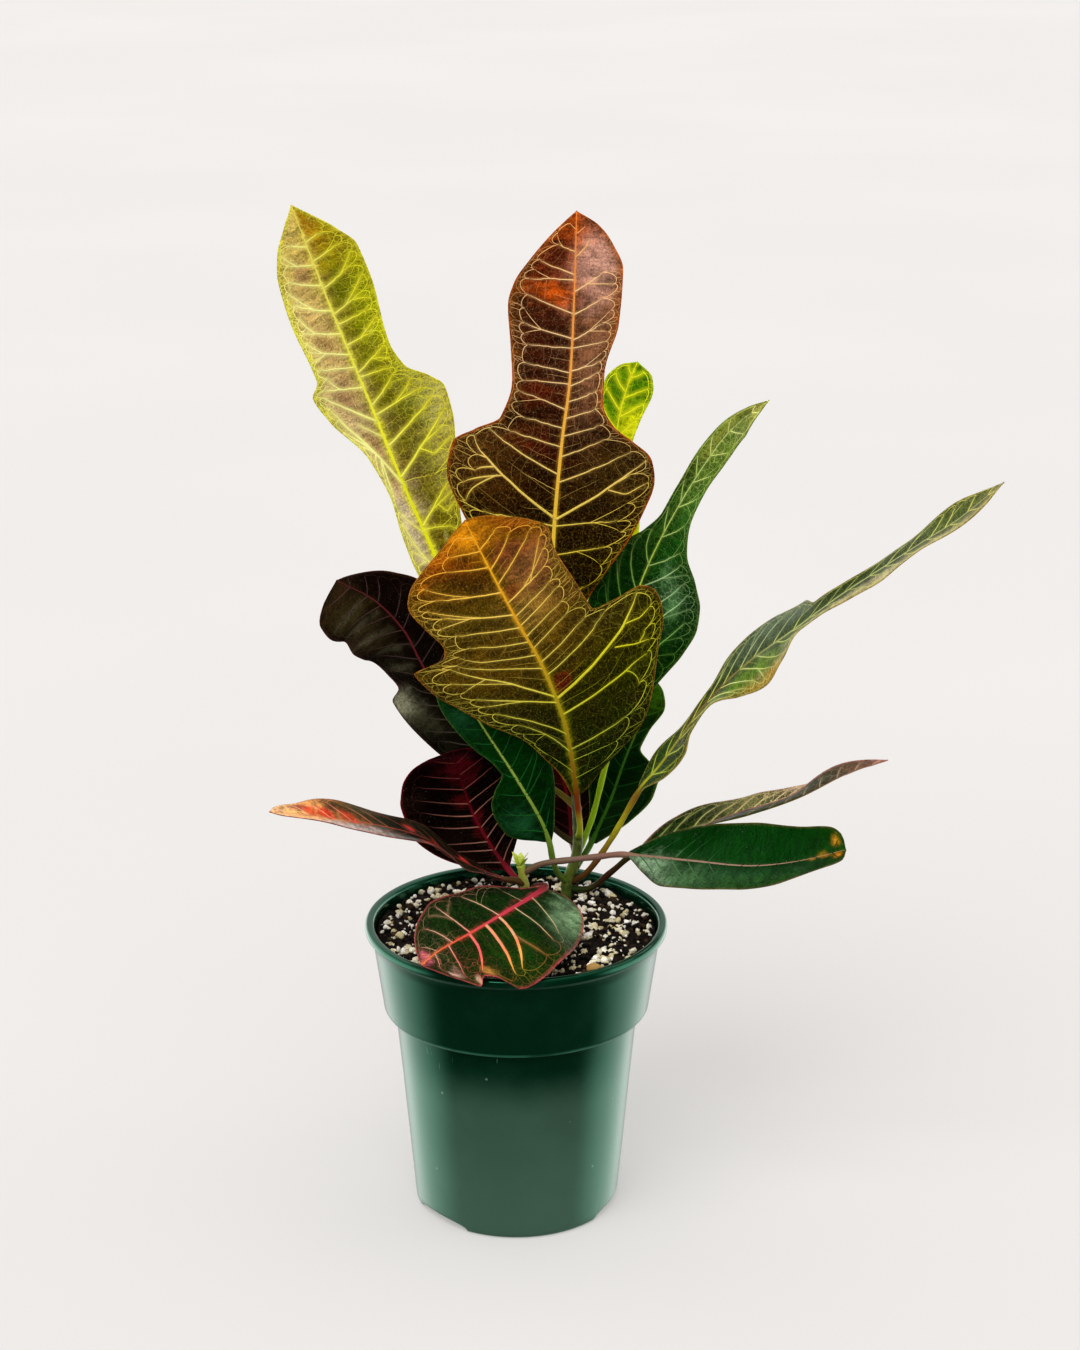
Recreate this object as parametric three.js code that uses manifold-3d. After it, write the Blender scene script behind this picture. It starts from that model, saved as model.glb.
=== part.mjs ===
// Potted croton: a broad-leaved plant with two stems in a green plastic nursery pot.
// Millimetres, +Z up. The origin is the middle of the pot's base, where the pot stands.
// The plant's front is -Y and its right is +X.

import * as THREE from 'three';
import { mergeVertices } from 'three/addons/utils/BufferGeometryUtils.js';
import Module from 'manifold-3d';

const wasm = await Module();
wasm.setup();

// Pot
const POT_HEIGHT = 165;
const POT_SIDES = 48;
const POT_WALL = 2;
const LIP_RADIUS = 82.5;
const LIP_HEIGHT = 4;
const LIP_ROUND = 0.6;
const LIP_UNDERSIDE = 2;
const COLLAR_TOP_RADIUS = 79;
const COLLAR_FOOT_RADIUS = 73;
const COLLAR_FOOT_Z = 119;
const COLLAR_ROUND = 2;
const BODY_TOP_RADIUS = 67;
const BODY_TOP_Z = 116;
const BASE_RADIUS = 56.5;
const BASE_EDGE = 3;
const ARCH_COUNT = 3;
const ARCH_WIDTH = 40;
const ARCH_HEIGHT = 4;
const ARCH_DEPTH = 12;
const ARCH_SIDES = 24;
const FIRST_ARCH_ANGLE = -19;
const FLOOR_THICKNESS = 3;
const FLOOR_TOP_Z = ARCH_HEIGHT + FLOOR_THICKNESS;
const COLLAR_TOP_Z = POT_HEIGHT - LIP_HEIGHT - LIP_UNDERSIDE;

// Soil
const SOIL_Z = 159;
const SOIL_RELIEF = 2.2;
const SOIL_RINGS = 8;
const SOIL_SIDES = 36;
const SOIL_GAP = 0.7;
const SOIL_STEP_Z = 121;
const GRAIN_COUNT = 80;
const GRAIN_RADIUS = 2.6;
const GRAIN_SMALLEST = 0.75;
const GRAIN_LARGEST = 1.15;
const GRAIN_LIFT = 0.65;
const GRAIN_STEM_CLEARANCE = 9;

// Plant
const BLADE_HALF = 0.35;
const SEAT_GAP = 0.3;
const ROW_LEAST_STEP = 3.6;
const ROW_MOST_STEP = 9;
const STALK_ROWS = 5;
const STALK_RADIUS = 1.7;
const RIB_RADIUS_AT_TIP = 0.5;
const COLUMNS = [-1, -0.62, -0.25, 0, 0.25, 0.62, 1];
const BLADE_CURL = -0.3;
const FULL_WAVE_WIDTH = 20;
const WAVE_PHASE = { left: 0.8, right: 2.6 };
const SPINE_DIVISIONS = 400;
const STEM_SIDES = 10;
const STEM_RINGS_PER_POINT = 2;
const STEM_ROOT_Z = 128;

// Stems: centre points from the root up, and the radius at the foot and the top.
const STEM_MAIN = {
  points: [[28, 46, STEM_ROOT_Z], [28, 46, 160], [29, 46, 170], [33, 45, 183], [34, 44, 197],
    [33, 46, 218], [31, 48, 243]],
  footRadius: 3.6,
  topRadius: 2.2,
};
const STEM_SIDE = {
  points: [[6, 26, STEM_ROOT_Z], [6, 26, 160], [5, 26, 171], [3, 27, 183], [2, 27, 186]],
  footRadius: 3,
  topRadius: 2.4,
};

// The sprout at the side stem's top: small pointed leaves, with their lean in degrees.
const SPROUT_RADIUS = 1.9;
const SPROUT_SIDES = 6;
const SPROUT_ROOT = 2.5;
const SPROUTS = [
  { length: 9, aside: -28, back: 10 },
  { length: 11, aside: 24, back: -6 },
  { length: 8, aside: 4, back: 30 },
];

// Leaves. stalk runs from the middle of the stem to the blade, and midrib from the blade's
// base to its tip. facing is where the upper face looks, at even steps from base to tip.
// left and right are half widths seen from the upper face with the tip up: per cent of the
// blade's length, then millimetres. sweep leans the cross lines towards the tip, in degrees
// at the base and at the tip. fold lifts each half towards the upper face, in degrees at the
// base and at the tip, and BLADE_CURL turns it back by degrees for each millimetre aside.
// wave is the height of the edge's waves, and waves is how many there are along one side.
const LEAVES = {
  leaf_yellow: {
    color: 0x8f8f2a,
    stalk: [[33, 46, 213], [24, 52, 219], [9, 58, 229], [-6, 64, 253]],
    midrib: [[-20, 70, 279], [-34, 78, 309], [-44, 84, 344], [-60, 86, 382], [-79, 82, 433], [-99, 66, 491],
      [-116, 42, 548]],
    facing: [[0, -1, 0.2], [0.05, -1, 0.25], [0, -1, 0.5]],
    left: [[0, 2], [12, 7], [24, 14], [30, 13], [38, 10], [46, 13], [54, 25], [60, 29], [64, 23], [67, 23],
      [75, 24], [84, 22], [91, 16], [96, 8], [100, 0]],
    right: [[0, 2], [12, 8], [24, 19], [36, 32], [46, 42], [51, 43], [55, 37], [60, 26], [65, 23],
      [78, 27], [86, 26], [92, 18], [97, 7], [100, 0]],
    sweep: [20, 12],
    fold: { left: [14, 10], right: [12, 8] },
    wave: 3,
    waves: 3,
  },
  leaf_bronze: {
    color: 0x4a2a14,
    stalk: [[33, 46, 221], [31, 54, 230], [28, 60, 244], [25, 64, 262]],
    midrib: [[22, 67, 295], [20, 69, 338], [21, 69, 372], [25, 67, 417], [29, 63, 451], [31, 54, 496],
      [32, 42, 545]],
    facing: [[0, -1, 0.1], [0, -1, 0.2], [0, -1, 0.35]],
    left: [[0, 2], [6, 10], [14, 30], [24, 52], [32, 64], [38, 62], [43, 50], [48, 36], [57, 32], [66, 34],
      [75, 36], [81, 33], [88, 24], [95, 11], [100, 0]],
    right: [[0, 2], [9, 19], [16, 33], [26, 49], [34, 55], [40, 52], [46, 40], [51, 27], [56, 20], [62, 19],
      [73, 25], [85, 26], [91, 20], [96, 12], [100, 0]],
    sweep: [20, 12],
    fold: { left: [10, 8], right: [10, 8] },
    wave: 3,
    waves: 3.5,
  },
  leaf_olive: {
    color: 0x5d5a1c,
    stalk: [[34, 44, 196], [35, 39, 200], [35, 34, 208], [34, 31, 216]],
    midrib: [[33, 28, 227], [30, 22, 252], [25, 16, 277], [14, 9, 308], [2, 4, 332], [-13, -3, 364],
      [-26, -10, 393]],
    facing: [[0.1, -1, 0.1], [0.05, -1, 0.2], [0, -1, 0.3]],
    left: [[0, 3], [7, 8], [14, 18], [22, 29], [30, 43], [39, 56], [47, 62], [53, 65], [57, 46], [61, 43],
      [68, 47], [74, 50], [80, 45], [86, 34], [92, 20], [97, 9], [100, 0]],
    right: [[0, 4], [5, 18], [10, 37], [17, 51], [25, 63], [31, 74], [36, 77], [41, 71], [45, 54], [49, 40],
      [60, 39], [72, 37], [80, 39], [87, 32], [94, 19], [98, 9], [100, 0]],
    sweep: [20, 16],
    fold: { left: [10, 8], right: [10, 8] },
    wave: 2.5,
    waves: 3,
  },
  leaf_lime: {
    color: 0xa8bc14,
    stalk: [[31, 48, 236], [35, 60, 245], [40, 78, 262]],
    midrib: [[45, 98, 284], [48, 118, 330], [53, 132, 378], [57, 138, 409], [62, 142, 429], [68, 144, 444]],
    facing: [[-0.1, -1, 0.5], [-0.1, -1, 0.3], [-0.1, -1, 0.2]],
    left: [[0, 2], [15, 15], [32, 28], [45, 27], [56, 18], [68, 13], [80, 13], [88, 14], [95, 9], [100, 0]],
    right: [[0, 2], [15, 13], [32, 21], [45, 20], [56, 13], [68, 10], [78, 13], [88, 16], [95, 12], [100, 0]],
    sweep: [18, 18],
    fold: { left: [12, 10], right: [12, 10] },
    wave: 2,
    waves: 2.5,
  },
  leaf_right_upright: {
    color: 0x1f5a22,
    stalk: [[33, 45, 184], [38, 50, 193], [43, 55, 206], [48, 59, 226]],
    midrib: [[53, 63, 247], [55, 70, 275], [60, 75, 303], [71, 79, 339], [89, 76, 378], [109, 69, 413],
      [121, 61, 429], [135, 50, 443]],
    facing: [[0, -1, 0.1], [-0.25, -0.95, 0.15], [-0.45, -0.85, 0.3]],
    left: [[0, 2], [10, 16], [20, 26], [30, 27], [38, 25], [46, 19], [51, 12], [58, 7], [66, 7], [76, 8],
      [86, 7], [94, 4], [100, 0]],
    right: [[0, 3], [8, 18], [14, 29], [20, 37], [27, 42], [34, 40], [42, 32], [50, 20], [60, 13], [70, 11],
      [80, 12], [88, 11], [95, 5], [100, 0]],
    sweep: [20, 20],
    fold: { left: [15, 40], right: [15, 25] },
    wave: 2.5,
    waves: 3,
  },
  leaf_right_long: {
    color: 0x3c5a2c,
    stalk: [[30, 46, 168], [40, 43, 176], [53, 40, 197]],
    midrib: [[68, 36, 227], [80, 33, 244], [102, 28, 278], [123, 20, 304], [148, 8, 328], [170, -4, 350],
      [190, -12, 367], [209, -20, 383], [228, -28, 399], [248, -36, 420]],
    facing: [[-0.74, -0.2, 0.67], [-0.74, -0.1, 0.67], [-0.74, -0.04, 0.67]],
    left: [[0, 3], [8, 11], [15, 7], [24, 8], [32, 16], [41, 25], [48, 21], [53, 10], [64, 7], [76, 12],
      [86, 14], [94, 8], [100, 0]],
    right: [[0, 3], [6, 13], [12, 16], [17, 9], [23, 9], [30, 23], [38, 31], [44, 24], [50, 8], [62, 10],
      [76, 13], [88, 12], [95, 7], [100, 0]],
    sweep: [18, 18],
    fold: { left: [15, 8], right: [0, 8] },
    wave: 3,
    waves: 3.5,
  },
  leaf_right_folded: {
    color: 0x24471f,
    stalk: [[29, 46, 164], [41, 44, 165], [53, 44, 175]],
    midrib: [[70, 42, 190], [101, 38, 205], [127, 30, 215], [154, 22, 228], [180, 12, 246], [200, 4, 256]],
    facing: [[-0.51, -0.15, 0.85], [-0.4, 0.2, 0.85], [-0.19, 0.6, 0.78]],
    left: [[0, 2], [12, 11], [26, 18], [40, 18], [54, 15], [68, 14], [82, 11], [92, 7], [100, 0]],
    right: [[0, 2], [12, 13], [26, 22], [40, 24], [54, 22], [68, 20], [82, 15], [92, 8], [100, 0]],
    sweep: [15, 15],
    fold: { left: [30, 10], right: [25, 10] },
    wave: 2,
    waves: 2,
  },
  leaf_right_low: {
    color: 0x163d1c,
    stalk: [[3, 27, 181], [14, 26, 187], [28, 24, 190], [44, 19, 194]],
    midrib: [[61, 10, 199], [93, -6, 202], [124, -19, 204], [149, -28, 210], [175, -34, 219]],
    facing: [[-0.2, -0.19, 0.96], [-0.2, -0.19, 0.96], [-0.2, -0.19, 0.96]],
    left: [[0, 2], [10, 12], [22, 21], [34, 25], [50, 25], [65, 24], [80, 21], [92, 16], [98, 9], [100, 0]],
    right: [[0, 2], [8, 14], [18, 24], [32, 26], [50, 22], [66, 18], [80, 15], [92, 13], [98, 9], [100, 0]],
    sweep: [18, 10],
    fold: { left: [35, 35], right: [0, 4] },
    wave: 1.5,
    waves: 2,
  },
  leaf_left_black: {
    color: 0x241416,
    stalk: [[34, 45, 191], [22, 54, 196], [8, 66, 207]],
    midrib: [[-10, 78, 223], [-29, 86, 246], [-44, 90, 264], [-55, 93, 284], [-64, 95, 301], [-80, 96, 318],
      [-101, 95, 330]],
    facing: [[0, -1, 0.3], [0, -1, 0.4], [0, -1, 0.45]],
    left: [[0, 2], [7, 14], [15, 23], [28, 25], [39, 26], [44, 19], [50, 21], [60, 28], [68, 32], [77, 30],
      [86, 33], [93, 29], [98, 15], [100, 0]],
    right: [[0, 2], [10, 18], [25, 30], [40, 34], [50, 30], [60, 28], [70, 27], [80, 20], [90, 11], [97, 4],
      [100, 0]],
    sweep: [20, 14],
    fold: { left: [14, 10], right: [12, 10] },
    wave: 2.5,
    waves: 3,
  },
  leaf_green_left: {
    color: 0x174a22,
    stalk: [[29, 46, 167], [23, 42, 175], [20, 39, 185]],
    midrib: [[18, 37, 196], [13, 34, 211], [-1, 29, 238], [-17, 24, 266], [-30, 20, 290], [-38, 16, 307]],
    facing: [[0, -1, 0.1], [0, -1, 0.2], [0, -1, 0.3]],
    left: [[0, 3], [4, 16], [9, 22], [17, 23], [25, 21], [33, 14], [40, 6], [47, 7], [55, 11], [66, 14],
      [77, 15], [87, 13], [95, 8], [100, 0]],
    right: [[0, 2], [10, 9], [20, 17], [30, 22], [44, 24], [56, 18], [70, 17], [82, 16], [93, 9], [100, 0]],
    sweep: [18, 14],
    fold: { left: [12, 8], right: [12, 8] },
    wave: 2,
    waves: 2.5,
  },
  leaf_crimson: {
    color: 0x3a0f16,
    stalk: [[5, 26, 171], [1, 33, 174]],
    midrib: [[-5, 41, 178], [-15, 48, 190], [-25, 55, 207], [-31, 60, 224], [-36, 63, 240]],
    facing: [[0.1, -1, 0.5], [0, -1, 0.3], [0, -1, 0.1]],
    left: [[0, 2], [9, 15], [17, 24], [28, 32], [40, 37], [58, 38], [75, 34], [88, 26], [96, 14], [100, 0]],
    right: [[0, 2], [9, 15], [20, 26], [34, 33], [50, 35], [65, 33], [80, 28], [91, 18], [97, 9], [100, 0]],
    sweep: [16, 10],
    fold: { left: [12, 8], right: [12, 8] },
    wave: 1.5,
    waves: 2,
  },
  leaf_left_long: {
    color: 0x7a4a34,
    stalk: [[5, 26, 175], [-1, 24, 178]],
    midrib: [[-9, 18, 182], [-31, 4, 198], [-51, -10, 217], [-77, -22, 229], [-103, -32, 237],
      [-129, -40, 243]],
    facing: [[0.4, 0.1, 0.9], [0.4, 0.14, 0.9], [0.4, 0.14, 0.9]],
    left: [[0, 2], [12, 12], [28, 20], [45, 20], [60, 17], [75, 15], [88, 10], [96, 5], [100, 0]],
    right: [[0, 2], [12, 12], [28, 18], [45, 18], [60, 20], [75, 20], [88, 14], [96, 7], [100, 0]],
    sweep: [15, 15],
    fold: { left: [6, 6], right: [12, 12] },
    wave: 1.5,
    waves: 2.5,
  },
  leaf_front_droop: {
    color: 0x1d3f1e,
    stalk: [[5, 26, 167], [9, 15, 177], [13, 2, 184]],
    midrib: [[15, -8, 186], [-8, -42, 185], [-24, -57, 181], [-39, -67, 176], [-49, -73, 170]],
    facing: [[0.15, -0.45, 0.88], [0.12, -0.38, 0.92], [0.12, -0.33, 0.93]],
    left: [[0, 3], [4, 12], [10, 23], [18, 32], [27, 38], [38, 42], [50, 45], [60, 47], [67, 46], [71, 34],
      [76, 30], [80, 35], [87, 24], [94, 11], [100, 0]],
    right: [[0, 3], [10, 6], [24, 13], [38, 20], [50, 25], [62, 28], [70, 28], [80, 24], [88, 17], [95, 8],
      [100, 0]],
    sweep: [-25, 14],
    fold: { left: [7, 7], right: [8, 8] },
    wave: 1.5,
    waves: 2.5,
  },
  leaf_back_green: {
    color: 0x123a1c,
    stalk: [[29, 46, 171], [34, 55, 174], [38, 62, 178]],
    midrib: [[42, 68, 183], [53, 78, 205], [61, 86, 226], [70, 92, 248], [76, 96, 274]],
    facing: [[0, -1, 0.4], [0, -1, 0.3], [0.1, -1, 0.3]],
    left: [[0, 2], [15, 10], [32, 18], [45, 20], [58, 12], [65, 8], [78, 12], [90, 8], [100, 0]],
    right: [[0, 3], [8, 10], [16, 16], [30, 23], [40, 23], [50, 15], [58, 6], [68, 7], [80, 12], [90, 9],
      [100, 0]],
    sweep: [16, 14],
    fold: { left: [10, 8], right: [10, 8] },
    wave: 1.5,
    waves: 2,
  },
  leaf_back_red: {
    color: 0x3c1712,
    stalk: [[33, 45, 178], [33, 53, 180], [32, 62, 182]],
    midrib: [[31, 72, 184], [29, 84, 203], [24, 94, 220], [20, 102, 240], [17, 106, 256]],
    facing: [[0, -1, 0.5], [0, -1, 0.4], [0, -1, 0.3]],
    left: [[0, 6], [6, 13], [18, 19], [40, 24], [62, 22], [82, 15], [93, 9], [100, 0]],
    right: [[0, 6], [6, 13], [18, 19], [40, 24], [62, 22], [82, 15], [93, 9], [100, 0]],
    sweep: [12, 12],
    fold: { left: [10, 8], right: [10, 8] },
    wave: 1.5,
    waves: 2,
  },
};

// Small vector and number helpers
const vec = (point) => new THREE.Vector3(...point);
const radians = THREE.MathUtils.degToRad;
const mix = THREE.MathUtils.lerp;

// A repeatable random number from 0 to 1 for each call.
function makeRandom(seed) {
  let state = seed;
  return () => {
    state = (state * 1664525 + 1013904223) % 4294967296;
    return state / 4294967296;
  };
}

// The value of an evenly spaced list at t from 0 to 1.
function along(list, t) {
  const place = Math.min(Math.max(t, 0), 1) * (list.length - 1);
  const step = Math.min(Math.floor(place), list.length - 2);
  return mix(list[step], list[step + 1], place - step);
}

// A smooth line through a table of [place, value] that never overshoots a value.
function smoothTable(table, place) {
  const last = table.length - 1;
  let i = 0;
  while (i < last - 1 && place > table[i + 1][0]) i += 1;
  const slope = (k) => (table[k + 1][1] - table[k][1]) / (table[k + 1][0] - table[k][0]);
  const tangent = (k) => {
    if (k === 0) return slope(0);
    if (k === last) return slope(last - 1);
    const before = slope(k - 1);
    const after = slope(k);
    return before * after <= 0 ? 0 : (2 * before * after) / (before + after);
  };
  const width = table[i + 1][0] - table[i][0];
  const t = Math.min(Math.max((place - table[i][0]) / width, 0), 1);
  const rise = t * t * (3 - 2 * t);
  const bend = tangent(i) * (t - 2 * t * t + t * t * t) + tangent(i + 1) * (t * t * t - t * t);
  return mix(table[i][1], table[i + 1][1], rise) + width * bend;
}

// A closed body from rings of points: each ring is joined to the next, and both ends are
// closed to their own middle point.
function skinRings(rings) {
  const sides = rings[0].length;
  const positions = rings.flat().flatMap((p) => [p.x, p.y, p.z]);
  const index = [];
  for (let r = 0; r < rings.length - 1; r += 1) {
    for (let k = 0; k < sides; k += 1) {
      const a = r * sides + k;
      const b = r * sides + ((k + 1) % sides);
      index.push(a, b, b + sides, a, b + sides, a + sides);
    }
  }
  const closeEnd = (ring, outwardFirst) => {
    const centre = positions.length / 3;
    const middle = rings[ring].reduce((sum, p) => sum.add(p), new THREE.Vector3()).divideScalar(sides);
    positions.push(middle.x, middle.y, middle.z);
    for (let k = 0; k < sides; k += 1) {
      const a = ring * sides + k;
      const b = ring * sides + ((k + 1) % sides);
      index.push(...(outwardFirst ? [b, a, centre] : [a, b, centre]));
    }
  };
  closeEnd(0, true);
  closeEnd(rings.length - 1, false);
  const geometry = new THREE.BufferGeometry();
  geometry.setAttribute('position', new THREE.Float32BufferAttribute(positions, 3));
  geometry.setIndex(index);
  return geometry;
}

// Solids for cutting and joining
function toSolid(geometry) {
  const bare = geometry.clone();
  bare.deleteAttribute('normal');
  bare.deleteAttribute('uv');
  const merged = mergeVertices(bare, 1e-4);
  return new wasm.Manifold(new wasm.Mesh({
    numProp: 3,
    vertProperties: new Float32Array(merged.attributes.position.array),
    triVerts: new Uint32Array(merged.index.array),
  }));
}

function toGeometry(solid) {
  const mesh = solid.getMesh();
  const geometry = new THREE.BufferGeometry();
  geometry.setAttribute('position', new THREE.Float32BufferAttribute(mesh.vertProperties, 3));
  geometry.setIndex(Array.from(mesh.triVerts));
  return geometry;
}

// A round stem along its points, swollen by extra all round.
function stemGeometry(stem, extra = 0) {
  const curve = new THREE.CatmullRomCurve3(stem.points.map(vec), false, 'catmullrom', 0.5);
  const steps = (stem.points.length - 1) * STEM_RINGS_PER_POINT;
  const rings = [];
  for (let i = 0; i <= steps; i += 1) {
    const t = i / steps;
    const centre = curve.getPointAt(t);
    const tangent = curve.getTangentAt(t);
    if (extra > 0 && i === 0) centre.addScaledVector(tangent, -extra);
    if (extra > 0 && i === steps) centre.addScaledVector(tangent, extra);
    const across = new THREE.Vector3(1, 0, 0).cross(tangent).normalize();
    const side = tangent.clone().cross(across);
    const radius = mix(stem.footRadius, stem.topRadius, t) + extra;
    const ring = [];
    for (let k = 0; k < STEM_SIDES; k += 1) {
      const angle = (2 * Math.PI * k) / STEM_SIDES;
      ring.push(centre.clone()
        .addScaledVector(across, radius * Math.cos(angle))
        .addScaledVector(side, radius * Math.sin(angle)));
    }
    rings.push(ring);
  }
  return skinRings(rings);
}

// Where a blade's rows lie, in per cent of its length: at the places where its two edges
// turn, and in between where those are far apart.
function rowPlaces(leaf) {
  const turns = [...leaf.left, ...leaf.right].map(([place]) => place).sort((a, b) => a - b);
  const kept = [0];
  for (const place of turns) {
    if (place - kept.at(-1) >= ROW_LEAST_STEP && 100 - place >= ROW_LEAST_STEP) kept.push(place);
  }
  kept.push(100);
  return kept.flatMap((place, i) => {
    if (i === 0) return [place];
    const gap = place - kept[i - 1];
    const between = gap > ROW_MOST_STEP ? [place - gap / 2] : [];
    return [...between, place];
  });
}

// One leaf: its stalk and blade as rows of points across the midrib. Each row has an upper
// and a lower line of points, so every row is one ring of the closed body.
function leafGeometry(leaf) {
  const points = [...leaf.stalk, ...leaf.midrib].map(vec);
  const spine = new THREE.CatmullRomCurve3(points, false, 'catmullrom', 0.5);
  spine.arcLengthDivisions = SPINE_DIVISIONS;
  const total = spine.getLength();
  const stalkShare = leaf.stalk.length / (points.length - 1);
  const bladeStart = spine.getLengths(SPINE_DIVISIONS)[Math.round(SPINE_DIVISIONS * stalkShare)];
  const bladeLength = total - bladeStart;
  const facingAt = (u) => new THREE.Vector3(
    along(leaf.facing.map((f) => f[0]), u),
    along(leaf.facing.map((f) => f[1]), u),
    along(leaf.facing.map((f) => f[2]), u),
  );

  // The point at a distance along the spine and aside from it, lifted off the surface.
  function surfacePoint(distance, aside, lift, halfWidth) {
    const inside = Math.min(Math.max(distance, 0), total);
    const t = inside / total;
    const u = Math.min(Math.max((distance - bladeStart) / bladeLength, 0), 1);
    const tangent = spine.getTangentAt(t);
    const centre = spine.getPointAt(t).addScaledVector(tangent, distance - inside);
    const facing = facingAt(u);
    const normal = facing.addScaledVector(tangent, -facing.dot(tangent)).normalize();
    const across = tangent.clone().cross(normal);
    const side = aside < 0 ? 'left' : 'right';
    const reach = Math.abs(aside);
    const start = radians(along(leaf.fold[side], u));
    const bend = radians(BLADE_CURL);
    const end = start + bend * reach;
    const out = (Math.sin(end) - Math.sin(start)) / bend;
    const up = (Math.cos(start) - Math.cos(end)) / bend;
    const edge = halfWidth > 0 ? reach / halfWidth : 0;
    const wave = leaf.wave * Math.min(halfWidth / FULL_WAVE_WIDTH, 1) * edge * edge
      * Math.sin(2 * Math.PI * leaf.waves * u + WAVE_PHASE[side]);
    const sign = Math.sign(aside);
    return centre
      .addScaledVector(across, sign * (out - lift * Math.sin(end)))
      .addScaledVector(normal, up + wave + lift * Math.cos(end));
  }

  // One row: where it crosses the spine, its half widths, its lean and the rib's radius.
  function row(distance, leftWidth, rightWidth, lean, ribRadius, isBlade) {
    const upper = [];
    const lower = [];
    COLUMNS.forEach((column) => {
      const width = column < 0 ? leftWidth : rightWidth;
      const reach = width * (isBlade ? Math.abs(column) : Math.sin((Math.abs(column) * Math.PI) / 2));
      const forward = reach * Math.sin(lean);
      const aside = Math.sign(column) * reach * Math.cos(lean);
      const round = Math.sqrt(Math.max(ribRadius * ribRadius - reach * reach, 0));
      const topLift = Math.max(isBlade ? BLADE_HALF : round, BLADE_HALF);
      const bottomLift = Math.max(round, BLADE_HALF);
      upper.push(surfacePoint(distance + forward, aside, topLift, isBlade ? width : 0));
      lower.push(surfacePoint(distance + forward, aside, -bottomLift, isBlade ? width : 0));
    });
    return [...upper, ...lower.reverse()];
  }

  const rings = [];
  for (let i = 0; i < STALK_ROWS; i += 1) {
    rings.push(row((bladeStart * i) / STALK_ROWS, STALK_RADIUS, STALK_RADIUS, 0, STALK_RADIUS, false));
  }
  for (const place of rowPlaces(leaf)) {
    const u = place / 100;
    const least = BLADE_HALF * 2;
    rings.push(row(
      bladeStart + bladeLength * u,
      Math.max(smoothTable(leaf.left, place), least),
      Math.max(smoothTable(leaf.right, place), least),
      radians(along(leaf.sweep, u)),
      mix(STALK_RADIUS, RIB_RADIUS_AT_TIP, u),
      true,
    ));
  }
  return skinRings(rings);
}

// The pot: one wall with the collar's step, the thin lip and the floor, turned round the
// middle, with three low arches cut through the foot so that it stands on three feet.
function potGeometry() {
  const inner = (radius) => radius - POT_WALL;
  const profile = [
    [0, 0],
    [BASE_RADIUS - BASE_EDGE, 0],
    [BASE_RADIUS - BASE_EDGE * 0.3, BASE_EDGE * 0.3],
    [BASE_RADIUS, BASE_EDGE],
    [BODY_TOP_RADIUS, BODY_TOP_Z],
    [COLLAR_FOOT_RADIUS - COLLAR_ROUND, BODY_TOP_Z],
    [COLLAR_FOOT_RADIUS, COLLAR_FOOT_Z],
    [COLLAR_TOP_RADIUS, COLLAR_TOP_Z],
    [LIP_RADIUS - LIP_ROUND, POT_HEIGHT - LIP_HEIGHT],
    [LIP_RADIUS, POT_HEIGHT - LIP_HEIGHT / 2],
    [LIP_RADIUS - LIP_ROUND, POT_HEIGHT],
    [inner(COLLAR_TOP_RADIUS), POT_HEIGHT],
    [inner(COLLAR_FOOT_RADIUS), COLLAR_FOOT_Z],
    [inner(BODY_TOP_RADIUS), BODY_TOP_Z],
    [inner(BASE_RADIUS), FLOOR_TOP_Z],
    [0, FLOOR_TOP_Z],
  ];
  const pot = new THREE.LatheGeometry(profile.map(([x, y]) => new THREE.Vector2(x, y)), POT_SIDES);
  pot.rotateX(Math.PI / 2);
  let solid = toSolid(pot);
  for (let i = 0; i < ARCH_COUNT; i += 1) {
    const arch = new THREE.CylinderGeometry(1, 1, ARCH_DEPTH, ARCH_SIDES);
    arch.rotateZ(Math.PI / 2);
    arch.scale(1, ARCH_WIDTH / 2, ARCH_HEIGHT);
    arch.translate(BASE_RADIUS, 0, 0);
    arch.rotateZ(radians(FIRST_ARCH_ANGLE + (360 / ARCH_COUNT) * i));
    solid = solid.subtract(toSolid(arch));
  }
  return toGeometry(solid);
}

// The potting mix: a plug that follows the pot's inside, with a crumbly top, perlite grains
// standing out of it and plain holes for the stems.
function soilHeight(x, y) {
  const broad = Math.sin(x * 0.085 + 1.3) * Math.cos(y * 0.075 - 0.6);
  const fine = Math.sin(x * 0.31 + y * 0.13) * Math.sin(y * 0.29 - x * 0.11 + 1.7);
  return SOIL_Z + SOIL_RELIEF * (0.55 * broad + 0.45 * fine);
}

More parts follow.
